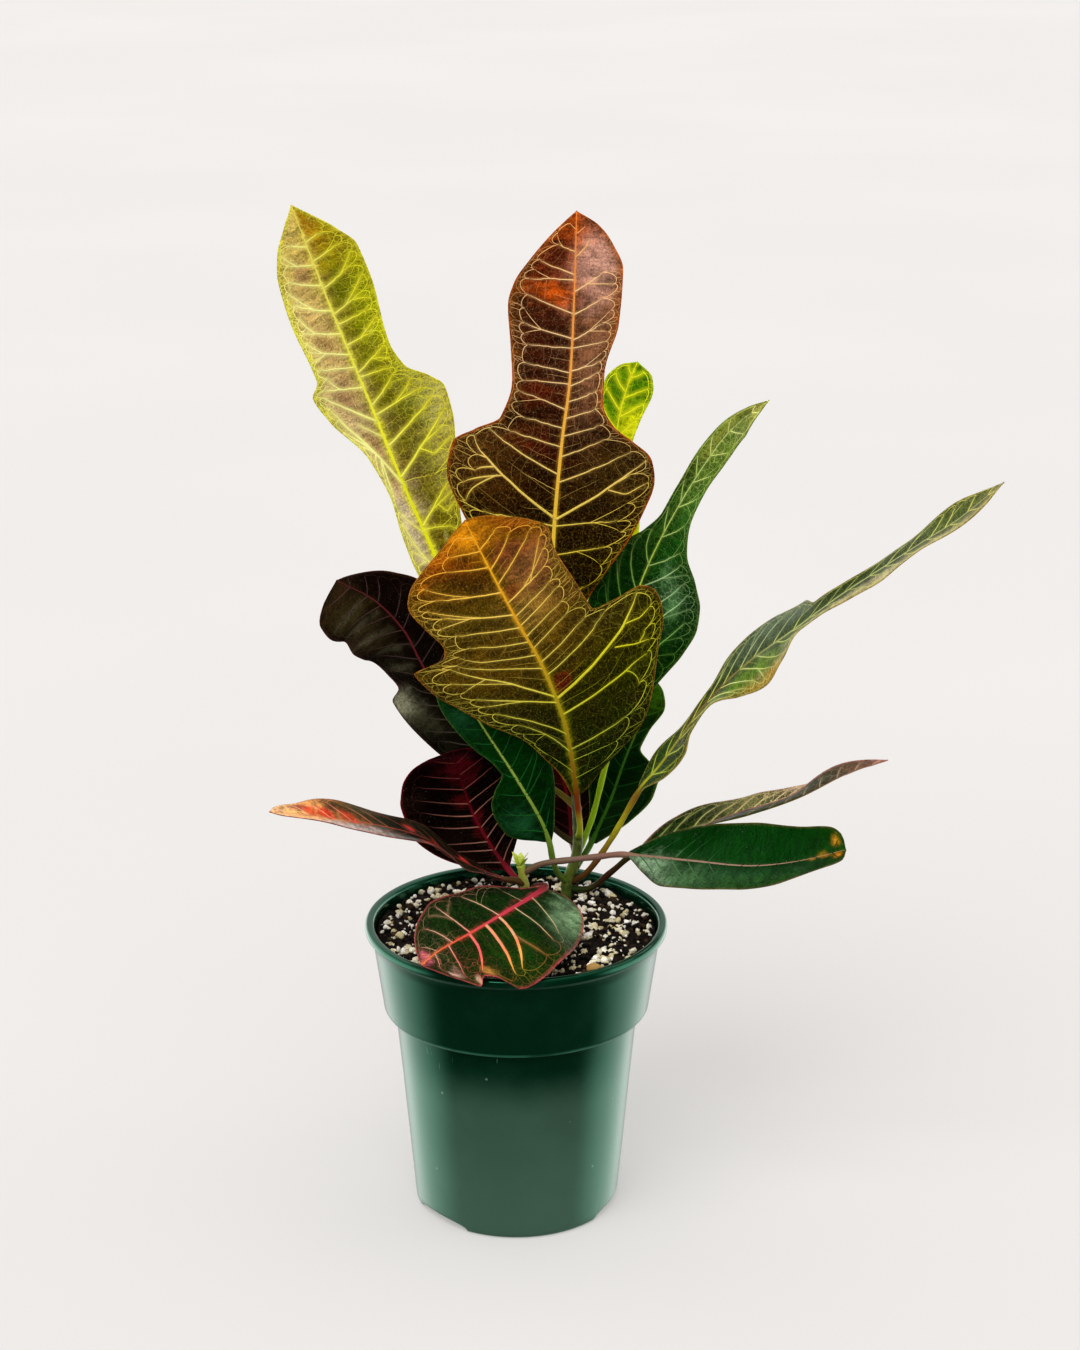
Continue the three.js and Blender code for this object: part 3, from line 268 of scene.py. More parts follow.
# Several pale patches and vein_patches are painted sheen and highlights, and a dark band on
# leaf_front_droop is a painted shadow.
# The leaves' paint. A run of colours goes from the blade's base to its tip, and stalk from
# the stem to the blade. rib is the midrib, beside is the blade next to it, and under the
# lower face. A patch is u, f, length, width, colour, amount and, for a crisp one, its power,
# with u in per cent of the blade and f in shares of its half width, below 0 on the left.
# net_patches have no colour. mottle is the tissue's second colour and its amount. glow
# spreads the veins' colour: (millimetres, amount) beside the side veins, then beside the
# midrib. net is how much the finest veins show, faint how much the fine ones do. rim is the
# edge's colour and width. veins_left and veins_right are the side veins from the tip down:
# foot and end on the blade, reach to the side, all in per cent, and width. Where the first
# row is one number, that many veins lie between the feet and ends that follow.
LOOKS = {
    "leaf_yellow": dict(
        slot="leaf_yellow", net=0.5, rough=0.42, rib_wide=0.8, speck=0.4, flecks=0.2,
        mottle=("#74502a", 0.42), rim=("#dcd83c", 1.3), glow=((1.5, 0.65), (2.4, 0.8)),
        stalk="#7a6a2c #8a8430 #a8a428",
        tissue="#504204 #605202 #706202 #7c7202 #868002 #9c9404 #b49c04",
        vein="#f4f040 #f8f24c #f8f05c #f8ee74 #f8ec80 #f8ea7c #f8e67c",
        rib="#f4f41c #fafa22 #fcfa2c #fcf840 #faf45c #faf06c #f4e06c",
        under="#8a7c34 #9c8c40 #a8944c",
        # The pale pink-cream patches on the left half are painted sheen.
        patches="""50 -.6 26 .55 #eccc9c .85, 32 -.6 10 .6 #fce8cc .85,
            76 -.55 16 .5 #e8c47c .85, 95 -.5 9 .6 #f8dc78 .9, 70 .95 26 .3 #c4ca0c .75,
            49 .85 9 .35 #f0e490 .9, 38 .8 7 .3 #dccc78 .7, 42 .3 4 .2 #5c3c34 .7,
            88 .5 8 .5 #c49c04 .65, 60 -.45 4 .2 #946850 .7 2, 86 -.4 3 .2 #9c6850 .7 2,
            44 -.5 7 .35 #a0784c .75 2, 70 -.5 3 .25 #a87c50 .6 2, 80 .3 4 .25 #5c4c04 .7 2,
            52 .35 5 .25 #4c3c10 .6 2, 60 .6 26 .4 #6e7a02 .5, 95 .35 5 .35 #c07c04 .6,
            66 -.98 36 .13 #e8e42c .9, 30 -.95 14 .14 #d8d078 .7, 78 .6 12 .5 #849802 .5""",
        vein_patches="70 .7 45 .75 #e4e018 .85, 20 .6 20 .8 #ece840 .7, 60 -.6 60 .6 #f8f0a4 .7",
        net_patches="70 .85 45 .35 .9, 60 -.95 50 .3 .8",
        veins_left="""91 92 60 1.08, 87 88 68 1.08, 82.5 84.5 74 1.22, 77 79.5 78 1.22,
            72 74 78 1.22, 67.5 70 82 1.22, 64.8 66 86 .94, 60.5 61.5 80 1.22, 53.2 60 82 1.49,
            50 53 45 .68, 40 52 92 1.76, 30 35 80 1.08, 21 30 80 1.22, 12 20 76 1.08""",
        veins_right="""92 92.5 55 .8, 87.8 88.5 66 .9, 81.8 83 64 1, 76.2 77 64 1,
            74 73 72 .8, 69.5 69 66 1, 63.5 65.5 80 1, 62.6 61 70 .8, 56.5 59.5 66 1,
            54.5 54 74 1.1, 48 51 78 1.3, 41.5 47.5 90 1.6, 40.6 38 55 .5, 31.2 35 78 1.4,
            30.6 27 80 .7, 19 20 74 .8, 10 12 70 .7""",
        forks=[
            ("right", "43.8 42, 41.2 62, 42 92", 0.9),
            ("right", "32.6 50, 30.4 66, 31 88", 0.7),
        ],
    ),
    "leaf_bronze": dict(
        slot="leaf_bronze", net=0.2, rough=0.36, rib_wide=0.75, speck=0.22, flecks=0.15,
        mottle=("#170a05", 0.55), rim=("#b85818", 1.2), glow=((0.9, 0.35), (1.5, 0.6)),
        stalk="#6a5a24 #7c6a28 #b0982a",
        tissue="#301a02 #260f01 #2a1001 #381402 #441602 #4a1802 #782c06",
        vein="#e2d63c #e7d243 #e2c564 #e4c482 #ebc793 #f1c48c #f5b86d",
        rib="#f4e03c #fcdc4c #fcd050 #fcc050 #fcb058 #fca458 #f89048",
        under="#4a2c14 #54301a #5c3420",
        # The pale pink-brown patches on the right half towards the tip are painted sheen.
        patches="""70 .5 17 .45 #9c6c4c .85, 89 .5 9 .6 #e0ac98 .9, 90 -.6 7 .5 #8a3004 .85,
            81 -.4 2.6 .4 #d86008 .95, 98 0 5 .9 #c85c14 .85, 57 -.5 3 .5 #6a1c02 .75,
            45.5 -.4 3 .4 #6a1804 .75, 72 -1 26 .16 #8c5412 .75, 74 1 24 .16 #a05a1c .75,
            38 -.75 9 .4 #5c3a10 .7, 38 .65 9 .4 #503c12 .6, 20 .5 12 .6 #1c1002 .6""",
        veins_left="""96 97 50 .6, 91 92 56 .8, 85.8 88 82 .9, 84.6 83 80 .9, 77 79 74 .9,
            71.4 72 76 .9, 69.2 67.3 72 .7, 63.6 63.2 76 .8, 61 59 80 .8, 55.2 56 86 .9,
            51 50 66 .8, 46.8 46 74 .9, 40.6 44.8 92 1.1, 37 38.4 34 .5, 30.8 41.6 92 1.8,
            29 26.6 72 .9, 21.5 21 72 .8, 12 13 70 .7""",
        veins_right="""95 96.5 45 .6, 89.8 93 42 .8, 82 85.5 58 1, 76.8 79.8 60 .9,
            71 74 64 .9, 69.2 69.5 78 .7, 64 65 80 .9, 60.6 62.6 78 .8, 57 58.6 76 .8,
            53.2 55 77 .8, 49.2 51.2 75 .8, 44.6 47.4 64 .9, 38.8 43.4 84 1, 30.4 40.6 94 1.7,
            29 27 72 .9, 22.4 21.5 68 .8, 12 13 70 .7""",
        forks=[
            ("left", "35.5 55, 33 66, 30.6 76, 27.4 88", 1.0),
            ("right", "35 53, 33 72, 34.8 93", 0.9),
        ],
    ),
    "leaf_olive": dict(
        slot="leaf_olive", net=0.22, rough=0.4, rib_wide=0.6, speck=0.24, mottle=("#2a1c05", 0.5),
        rim=("#a86a24", 0.7), glow=((0.9, 0.35), (1.9, 0.7)),
        stalk="#3c6020 #a8b42c #b0aa2c #8c3c1c #7c3c18",
        tissue="#031801 #101c01 #282701 #3e3301 #4e3c02 #6a4a04 #a86804",
        vein="#98aa3c #b4ba44 #cec252 #d6c25c #e0c260 #f0b848 #f8ae38",
        rib="#7c4c14 #a08420 #b49c24 #cca028 #e8a828 #f4b428 #f8a824",
        beside="#8c8c18 #b8b41c #ccc41c #dcb824 #ecb424 #f4b824 #f8a824",
        under="#3e4a18 #54501c #6a5420",
        patches="""27 .5 12 .6 #262e01 .7, 52 .5 10 .5 #6a4c08 .75, 66 .35 8 .4 #b48840 .75,
            76 .55 7 .35 #a86c44 .8, 82 -.3 5 .3 #4c2402 .8, 78 -.8 7 .3 #4c3402 .6,
            90 -.85 8 .3 #b45a06 .85, 96 -.1 7 .8 #ec9c18 .9, 90 .85 8 .25 #ac5c10 .8,
            38.6 .09 3 .075 #6c0612 1 3, 62 -.4 9 .5 #4e3e02 .5, 12 .6 8 .5 #0c2402 .7,
            20 -.4 9 .5 #101c01 .8, 40 .8 11 .35 #302e02 .5, 8 0 8 .9 #031c01 .8,
            70 .6 3 .2 #6c3424 .6 2, 84 .35 4 .25 #7c3c28 .7 2, 72 .15 3 .15 #7c3418 .7 2,
            86 -.45 3 .25 #6c3008 .7 2, 62 .75 6 .25 #6c4418 .6 2, 26 -.3 8 .4 #141c01 .6,
            50 -.5 12 .5 #6c4804 .5, 16 .5 8 .5 #242c06 .5""",
        vein_patches="34 .5 9 .6 #c6c21a .85, 26 .5 6 .6 #b3b41e .8",
        veins_left="""94 95 60 .7, 89 89.4 64 .8, 83.2 84.8 60 .8, 74.2 76.4 70 1,
            66 70.3 74 1, 61.3 64 76 .8, 56 58.8 70 .7, 51 56.6 82 .7, 46 54 66 .7,
            35.6 53.2 70 1.2, 33.6 39.4 74 1, 22 33 74 .8, 15.5 27.4 66 .7, 8 14 70 .6""",
        veins_right="""89.5 92 56 .9, 82.2 88 60 .9, 77 84.4 82 .8, 70.2 71.2 70 1,
            65.2 66.4 68 .7, 61.8 63.3 74 .8, 57.8 59 68 .7, 53.4 54.3 64 .7, 48.2 48.8 84 .7,
            43.5 45 84 .7, 34.8 40.8 93 1.9, 29 28 84 1.3, 16.5 17.6 66 .8, 12.5 12 64 .6,
            6 7 60 .6""",
        forks=[
            ("right", "36 54, 32.4 70, 29.8 86", 1.0),
            ("right", "38.6 70, 36.6 80, 36.2 90", 0.7),
        ],
    ),
    "leaf_lime": dict(
        slot="leaf_lime", net=0.4, rough=0.42, speck=0.1, mottle=("#3c7c0c", 0.6),
        rim=("#d8e040", 1.0), glow=((1.6, 0.55), (2.6, 0.8)),
        stalk="#6a7a24 #8a9c20",
        tissue="#c8e818 #f0fa18 #c8dc14 #789c10 #508408",
        vein="#d6e02c #f8fc28 #fcfc30",
        rib="#d2dc24 #f4f820 #fcfc30",
        under="#7a9420 #8aa428",
        patches="""72 .7 9 .6 #fcfc1c .95, 60 .2 9 1 #f8fc1c .9, 84 -.5 4 .4 #2c7c08 .8 2,
            90 .4 3.5 .35 #3c840a .75 2, 76 -.6 3 .3 #2c7408 .8 2""",
        veins_left="""95 97 60 .8, 89 92 76 1, 82.5 86.5 80 1.1, 76 80.5 80 1.1, 69 74 80 1,
            60 66 80 1, 50 57 80 1, 40 47 80 .9, 30 37 80 .9, 20 28 80 .8, 10 18 76 .7""",
        veins_right="""94 96.5 60 .8, 87 90.5 76 1, 80.5 84.5 80 1.1, 73.5 78.5 80 1.1,
            66 72 80 1, 57 63 80 1, 47 54 80 1, 37 44 80 .9, 27 34 80 .9, 17 25 80 .8,
            8 16 76 .7""",
    ),
    "leaf_right_upright": dict(
        slot="leaf_green", net=0.15, rough=0.3, faint=0.5, gloss=0.14, flecks=0.5, rib_wide=0.5,
        mottle=("#082c08", 0.5), rim=("#6c7c3c", 0.6), glow=((0.8, 0.3), (1.2, 0.4)),
        stalk="#7c9c20 #9cbc24 #b0cc30",
        tissue="#0c3404 #053804 #043c04 #104c0a #326410 #74882a #ccc458",
        vein="#8cb43c #7cac4c #a8c470 #ccd880 #ece8a0",
        rib="#bccc30 #c4dc4c #c8e068 #dcec98 #e8e8a8",
        under="#4a6a2c #5a7838 #74804c",
        # The thin pale green streaks right of the midrib are painted sheen.
        patches="""36 .6 7 .12 #7cae74 .5, 42 .45 4 .1 #7cae74 .4, 30 -.5 10 .5 #07300a .6,
            30 .95 12 .3 #06260a .8, 62 -.5 14 .5 #4c7428 .45, 70 .3 8 .4 #607030 .45,
            80 -.4 5 .4 #a4a448 .6 2, 88 .3 5 .4 #3c5c14 .7 2, 50 -.9 12 .2 #124c10 .7,
            70 -.6 4 .35 #3c3c14 .6 2, 92 -.4 3 .4 #486418 .7 2""",
        # The pale first vein patch, with the first net patch, paints highlights on the wrinkles
        # right of the midrib.
        vein_patches="38 .55 9 .45 #bcd0b0 .6, 26 -.6 13 .7 #2c6420 .65",
        net_patches="38 .5 9 .35 .35, 80 0 18 1 .55",
        veins_left="12, 6 12, 16 30, 50 56, 94 96",
        veins_right="12, 6 12, 16 34, 45 50, 94 96",
    ),
    "leaf_right_long": dict(
        slot="leaf_grey_green", net=0.45, rough=0.36, faint=0.8, mottle=("#26320f", 0.45),
        rim=("#a58a4c", 0.9), glow=((0.9, 0.3), (1.2, 0.4)),
        stalk="#4a3420 #7c5428 #b0a828 #7c4420",
        tissue="#0e2c04 #2c2408 #163208 #1c340c #243810 #2c3c10 #605c24",
        vein="#a4b440 #b8bc54 #c4c870 #c8c870 #ccc06c",
        rib="#b4b82c #7a5a2c #a8b06c #b0b078 #b0a67c",
        under="#5a5e38 #7a7448 #8c8458",
        # The grey-green patch on the left half is painted sheen.
        patches="""9 -.3 8 .7 #0e3e06 .8, 19 0 5 .8 #44260e .8, 39 -.6 13 .6 #5c6854 .8,
            38 .85 8 .2 #c08020 .9, 34 .5 12 .35 #6c9414 .75, 70 .8 26 .34 #ccbc94 .85,
            64 -.4 14 .6 #2c3818 .75, 88 -.2 8 .8 #4c5c1c .7""",
        # The grey-green first vein patch belongs to that painted sheen.
        vein_patches="39 -.6 13 .6 #909c80 .8, 62 -.2 14 .9 #70784c .75, 32 .5 12 .4 #d8e098 .7",
        veins_left="20, 4 7, 30 36, 50 54, 96 97.5",
        veins_right="20, 4 7, 28 36, 50 54, 96 97.5",
    ),
    "leaf_right_folded": dict(
        slot="leaf_tan_green", net=0.35, rough=0.4, faint=0.9, flecks=0.3, under_share=0.45,
        mottle=("#2c2a12", 0.4), rim=("#b07c74", 1.1), glow=((1.0, 0.4), (1.6, 0.5)),
        stalk="#22381a #44241a #2c3c18",
        tissue="#021c01 #032402 #0c3006 #26380e #303a18 #c88c78",
        vein="#6c8a44 #dcc48c #fcd4bc",
        rib="#5a6a2a #7c7c44 #b88478",
        under="#082808 #2c3c14 #343c18 #3c4420 #c88c78",
        patches="""80 -.9 26 .3 #f4c4b4 .95, 76 .3 9 .5 #343c1a .85, 64 .2 8 .5 #343c18 .7,
            38 -.6 10 .5 #8c8450 .65, 55 -.5 5 .3 #34381c .7, 88 .4 4 .4 #8c6040 .7 2""",
        net_patches="66 0 30 1.2 .8",
        veins_left="13, 5 12, 94 97",
        veins_right="13, 5 12, 94 97",
    ),
    "leaf_right_low": dict(
        slot="leaf_dark_green", net=0.05, rough=0.28, faint=0.2, gloss=0.16, flecks=0.5,
        mottle=("#032007", 0.5), rim=("#6a5a3a", 0.9), glow=((0.8, 0.1), (0.9, 0.2)),
        stalk="#6c5440 #84685c #946c60",
        tissue="#012404 #012c02 #013002 #013202 #023404 #143c04",
        vein="#0a3a12 #08380e #143c12",
        rib="#8c7460 #a48474 #a88878 #a88458",
        under="#3a5230 #4a5c38 #626440",
        # The pale and grey-green patches on the right half are painted sheen.
        patches="""12 .5 10 .5 #a0b898 .85, 28 .6 12 .4 #5c7c54 .7, 55 .75 22 .3 #3c6030 .6,
            96 .3 2 .25 #e08c1c .95, 90 .05 2.5 .12 #c88c20 .85, 95 -.5 1.6 .2 #e09824 .95,
            85 .1 1.5 .08 #c08c28 .8, 45 .4 25 .4 #2c5c34 .4""",
        # Its vein patch colours the veins inside that painted sheen.
        vein_patches="22 .5 20 .8 #5c8058 .7",
        veins_left="12, 5 14, 94 97",
        veins_right="12, 5 14, 94 97",
    ),
    "leaf_left_black": dict(
        slot="leaf_black", net=0.1, rough=0.3, faint=0.35, gloss=0.1, flecks=0.4,
        mottle=("#0c0705", 0.5), rim=("#4c302a", 0.9), glow=((0.8, 0.15), (1.2, 0.25)),
        stalk="#3c3a1c #3a2a1c #4a2024",
        tissue="#0c1406 #100f06 #100a04 #100804 #120602 #180c04",
        vein="#4a4a3e #443c34 #443230 #4c3836",
        rib="#5a2028 #642430 #6c2a32 #602c2c",
        under="#3a2422 #40282a",
        # The grey patches and the narrow grey stripes on the left half are painted sheen.
        patches="""38 -.85 5 .3 #a8a88c .85, 30 -.6 8 .3 #4c4c38 .6, 55 -.6 8 .4 #28241a .6,
            72 -.6 10 .4 #3c3420 .7, 88 -.5 8 .4 #4c4424 .6, 96 0 5 .9 #40301c .6,
            52 -.55 1.5 .35 #585644 .5 2, 61 -.55 1.5 .35 #585644 .5 2,
            70 -.55 1.5 .35 #585644 .5 2, 79 -.55 1.5 .35 #585644 .5 2,
            87 -.55 1.5 .35 #585644 .5 2""",
        veins_left="14, 5 14, 94 96",
        veins_right="14, 5 14, 94 96",
    ),
    "leaf_green_left": dict(
        slot="leaf_young_green", net=0.08, rough=0.28, faint=0.3, gloss=0.2, flecks=0.4,
        mottle=("#052208", 0.5), rim=("#5a7838", 0.6), glow=((0.8, 0.12), (1.0, 0.25)),
        stalk="#56662a #62782e #6f8c34",
        tissue="#042808 #053409 #063f0c #0a400c #18400c",
        vein="#1c5a28 #22602c #2c6830",
        rib="#7f9c3c #9db654 #a6bc5c #9ab054",
        under="#2c5a24 #3c662c",
        # Its two bluish green patches on the left half are painted sheen.
        patches="14 -.5 9 .4 #2f6a44 .5, 72 -.55 9 .4 #2f6a4a .55",
        veins_left="10, 5 10, 94 97",
        veins_right="11, 6 14, 94 97",
        forks=[
            ("right", "27 0, 31 35, 37 75, 44 88", 1.1),
        ],
    ),
    "leaf_crimson": dict(
        slot="leaf_crimson", net=0.08, rough=0.3, faint=0.3, gloss=0.04, speck=0.06, rib_wide=0.3,
        ragged=0.7, flecks=0.4, mottle=("#060303", 0.5), rim=("#7c1424", 0.7),
        glow=((0.6, 0.1), (1.6, 0.55)),
        stalk="#5a3424 #8a2030",
        tissue="#080401 #040100 #030000 #040100 #080201 #120203",
        vein="#805850 #8c6458 #946858 #703c38 #601c20",
        rib="#5c1822 #6c1420 #681020 #4c0a16 #3c0a12",
        under="#3c1a1e #4a1c22",
        patches="""95 -.35 4 .5 #44101a .75, 93 .4 5 .35 #300a12 .7,
            74 .15 4 .14 #4c0a14 .7 2, 60 -.1 5 .12 #5c0c16 .75 2, 46 .08 5 .1 #580a14 .7 2,
            32 -.05 5 .1 #540a14 .7 2, 36 -.6 8 .2 #140c06 .6, 86 .05 7 .35 #5c0c1c .8,
            76 .1 6 .22 #4c0a16 .7""",
        vein_patches="50 -.75 60 .5 #3c2020 .8",
        veins_left="9, 6 14, 90 95",
        veins_right="9, 6 14, 90 95",
    ),
    "leaf_left_long": dict(
        slot="leaf_pink", net=0.2, rough=0.36, faint=0.5, ragged=0.6, mottle=("#180c0a", 0.45),
        rim=("#8c4c48", 0.6), glow=((0.9, 0.3), (1.4, 0.4)),
        stalk="#4a3a1c #5c3c26",
        tissue="#140c04 #0a1004 #0a1806 #101c08 #a0683c #fcb468 #ffcc94",
        vein="#3c2420 #44241f #6c342c #c88464 #f0bc94",
        rib="#7a3430 #84382e #94443a #c46c4c #ec9c70",
        under="#4a2a22 #6e4636 #94644c",
        # The pale grey patches on the left half are painted sheen.
        patches="""70 -.8 15 .4 #d0c6c4 .9, 41 -.7 3 .25 #e04840 .95 2.5,
            17 .05 2.5 .25 #d83c38 .95 2.5, 33 .1 2 .2 #b83430 .85 2, 52 .4 3.5 .3 #0c1c08 .8 2,
            62 .5 4 .3 #f08858 .75 2, 69 -.1 3 .22 #e83c28 .85 2.5, 78 .2 3.5 .25 #f05c30 .8 2,
            86 .6 4 .25 #c83820 .75 2, 60 .9 4 .2 #201808 .8 2, 24 -.5 8 .3 #14240c .6,
            92 -.1 4 .3 #fcc878 .7, 74 .55 2 .18 #40180c .7 2.5, 81 -.3 2 .15 #f8b070 .8 2,
            64 .5 5 .4 #1c3410 .7 2, 56 .1 6 .6 #0c2008 .85 2, 74 .6 3 .3 #581c10 .6 2.5,
            47 0 6 .8 #0c1408 .7 2, 78 .1 2.4 .3 #e83018 .85 2.5, 70 .2 3 .3 #e84424 .85 2.5,
            84 .3 2.4 .3 #d84020 .8 2.5, 44 .3 2 .2 #e04840 .9 2.5, 66 .75 7 .25 #24401c .75,
            50 -.85 8 .2 #8c8c88 .75, 36 -.2 6 .5 #0c2008 .6, 60 .55 6 .35 #183410 .7,
            18 -.5 8 .4 #10280c .6""",
        veins_left="12, 5 14, 94 97",
        veins_right="12, 5 14, 94 97",
    ),
    "leaf_front_droop": dict(
        slot="leaf_pink_rib", net=0.08, rough=0.32, faint=0.3, rib_wide=0.6, speck=0.08,
        ragged=0.8, flecks=0.4, mottle=("#051205", 0.5), rim=("#b84c54", 0.9),
        glow=((0.9, 0.3), (1.6, 0.7)),
        stalk="#4c3c24 #4a241c #6a2a2a",
        tissue="#082004 #062806 #082e07 #0c3407 #123008 #142c08 #141c08",
        vein="#8aa064 #b0a068 #d49058 #e87850 #d86458 #d07860",
        rib="#9a3440 #bc3c50 #c84454 #d04c50 #dc6040 #e48048",
        under="#3c3420 #5c3c2c",
        # The grey-green patch on the left near the base is painted sheen, and the near-black band
        # along the right edge is a painted shadow.
        patches="""20 -.75 12 .3 #86a47c .8, 40 .95 30 .3 #040805 .85,
            60 -.5 10 .4 #1c4410 .5, 84 -.4 7 .4 #183810 .6, 96 -.1 3 .4 #d0687c .9 2,
            86 -.72 1.6 .15 #dca898 .6 2.5, 95 .4 3 .3 #cc5c70 .9 2,
            73 -.85 2 .12 #c8944c .75 2.5, 80 -.35 3.4 .22 #062406 .9 2.5,
            88 -.4 2 .14 #082406 .9 2.5, 87 .25 2.4 .2 #082406 .85 2.5,
            88 -.85 1.4 .1 #e8c0b0 .8 2.5, 79 -.92 1.2 .1 #e4b49c .8 2.5,
            70 -.45 3 .2 #0c3008 .8 2""",
        vein_patches="""90 0 9 1.2 #b87c6c .6, 50 .5 60 .75 #c8a88c .85,
            62 -.8 9 .3 #d8b840 .8, 68 -.3 7 .5 #d8485c .7, 30 -.5 14 .6 #b8b090 .7""",
        net_patches="88 -.25 7 .6 .35, 76 -.7 6 .3 .35, 93 .4 5 .4 .4, 78 .1 5 .15 .4",
        veins_left="""90 92 70 .7, 81 84 78 .9, 67 75 86 1.9, 55.5 65 78 2.2, 45 61 76 2.1,
            31 41.5 74 .9, 14 34 72 .8""",
        veins_right="88 92 70 .6, 78 83 74 .7, 66 71 84 1, 44 53.5 84 .85, 22 30 74 .5",
    ),
    "leaf_back_green": dict(
        slot="leaf_shade_green", net=0.12, rough=0.3, faint=0.4, mottle=("#031403", 0.55),
        rim=("#7c9444", 0.8), glow=((0.9, 0.2), (1.2, 0.3)),
        stalk="#34501e #4a6a24",
        tissue="#042004 #042404 #062c06 #1c3c0a #48680f",
        vein="#14401a #1c4c1c #5c8a34",
        rib="#3c6c20 #48782c #88a440",
        under="#34602a #4c7434",
        patches="90 .5 8 .6 #5a9418 .8",
        veins_left="10, 6 14, 94 96",
        veins_right="10, 6 14, 94 96",
    ),
    "leaf_back_red": dict(
        slot="leaf_shade_red", net=0.15, rough=0.32, faint=0.4, mottle=("#140705", 0.5),
        rim=("#7c3a34", 0.9), glow=((0.9, 0.25), (1.5, 0.45)),
        stalk="#4a2a1c #5c1e1e",
        tissue="#120604 #1c0806 #2c0a08 #341008 #341a0c",
        vein="#4c1c1c #542420 #6c3c2c",
        rib="#6c1420 #74181f #7c2420",
        under="#4a1e1c #5a2a22",
        patches="50 -.4 14 .4 #4a1816 .5",
        veins_left="9, 6 14, 94 96",
        veins_right="9, 6 14, 94 96",
    ),
}


def rows(text):
    """The rows of a table that commas part, with colours kept as they are."""
    return [
        [cell if cell[0] == "#" else float(cell) for cell in row.split()]
        for row in text.split(",") if row.strip()
    ]


def monotone(table, places):
    """A smooth line through [place, value] pairs that never overshoots a value."""
    x, y = np.array(table, float).T
    slope = np.diff(y) / np.diff(x)
    tangent = np.concatenate([slope[:1], np.zeros(len(x) - 2), slope[-1:]])
    before, after = slope[:-1], slope[1:]
    turns = before * after <= 0
    total = np.where(turns, 1, before + after)
    tangent[1:-1] = np.where(turns, 0, 2 * before * after / total)
    i = np.clip(np.searchsorted(x, places) - 1, 0, len(x) - 2)
    width = x[i + 1] - x[i]
    t = np.clip((places - x[i]) / width, 0, 1)
    rise = t * t * (3 - 2 * t)
    bend = tangent[i] * (t - 2 * t * t + t**3) + tangent[i + 1] * (t**3 - t * t)
    return y[i] * (1 - rise) + y[i + 1] * rise + width * bend


def along(values, t):
    """The value of an evenly spaced list at t from 0 to 1."""
    values = np.array(values, float)
    if len(values) == 1:
        return np.repeat(values, len(t), axis=0)
    place = np.clip(t, 0, 1) * (len(values) - 1)
    i = np.minimum(place.astype(int), len(values) - 2)
    part = (place - i).reshape((-1,) + (1,) * (values.ndim - 1))
    return values[i] * (1 - part) + values[i + 1] * part


def smoothstep(low, high, x):
    t = np.clip((x - low) / (high - low), 0, 1)
    return t * t * (3 - 2 * t)


def unit(vectors):
    return vectors / np.linalg.norm(vectors, axis=1)[:, None]


class Spine:
    """A smooth line through points, measured by its own length."""

    def __init__(self, points):
        p = np.array(points, float)
        self.points = np.vstack([2 * p[0] - p[1], p, 2 * p[-1] - p[-2]])
        self.spans = len(p) - 1
        self.t = np.linspace(0, 1, SPINE_DIVISIONS + 1)
        steps = np.linalg.norm(np.diff(self.at(self.t)[0], axis=0), axis=1)
        self.lengths = np.concatenate([[0], np.cumsum(steps)])
        self.total = self.lengths[-1]

    def at(self, t):
        """Points and directions at the curve's own t."""
        place = np.clip(t, 0, 1) * self.spans
        i = np.minimum(place.astype(int), self.spans - 1)
        w = (place - i)[:, None]
        a, b, c, d = (self.points[i + k] for k in range(4))
        start, end = (c - a) / 2, (d - b) / 2
        second = -3 * b + 3 * c - 2 * start - end
        third = 2 * b - 2 * c + start + end
        points = b + start * w + second * w**2 + third * w**3
        return points, unit(start + 2 * second * w + 3 * third * w**2)

    def frame(self, distance):
        """Points and directions at distances along it, going straight on past its ends."""
        inside = np.clip(distance, 0, self.total)
        points, tangents = self.at(np.interp(inside, self.lengths, self.t))
        return points + tangents * (distance - inside)[:, None], tangents


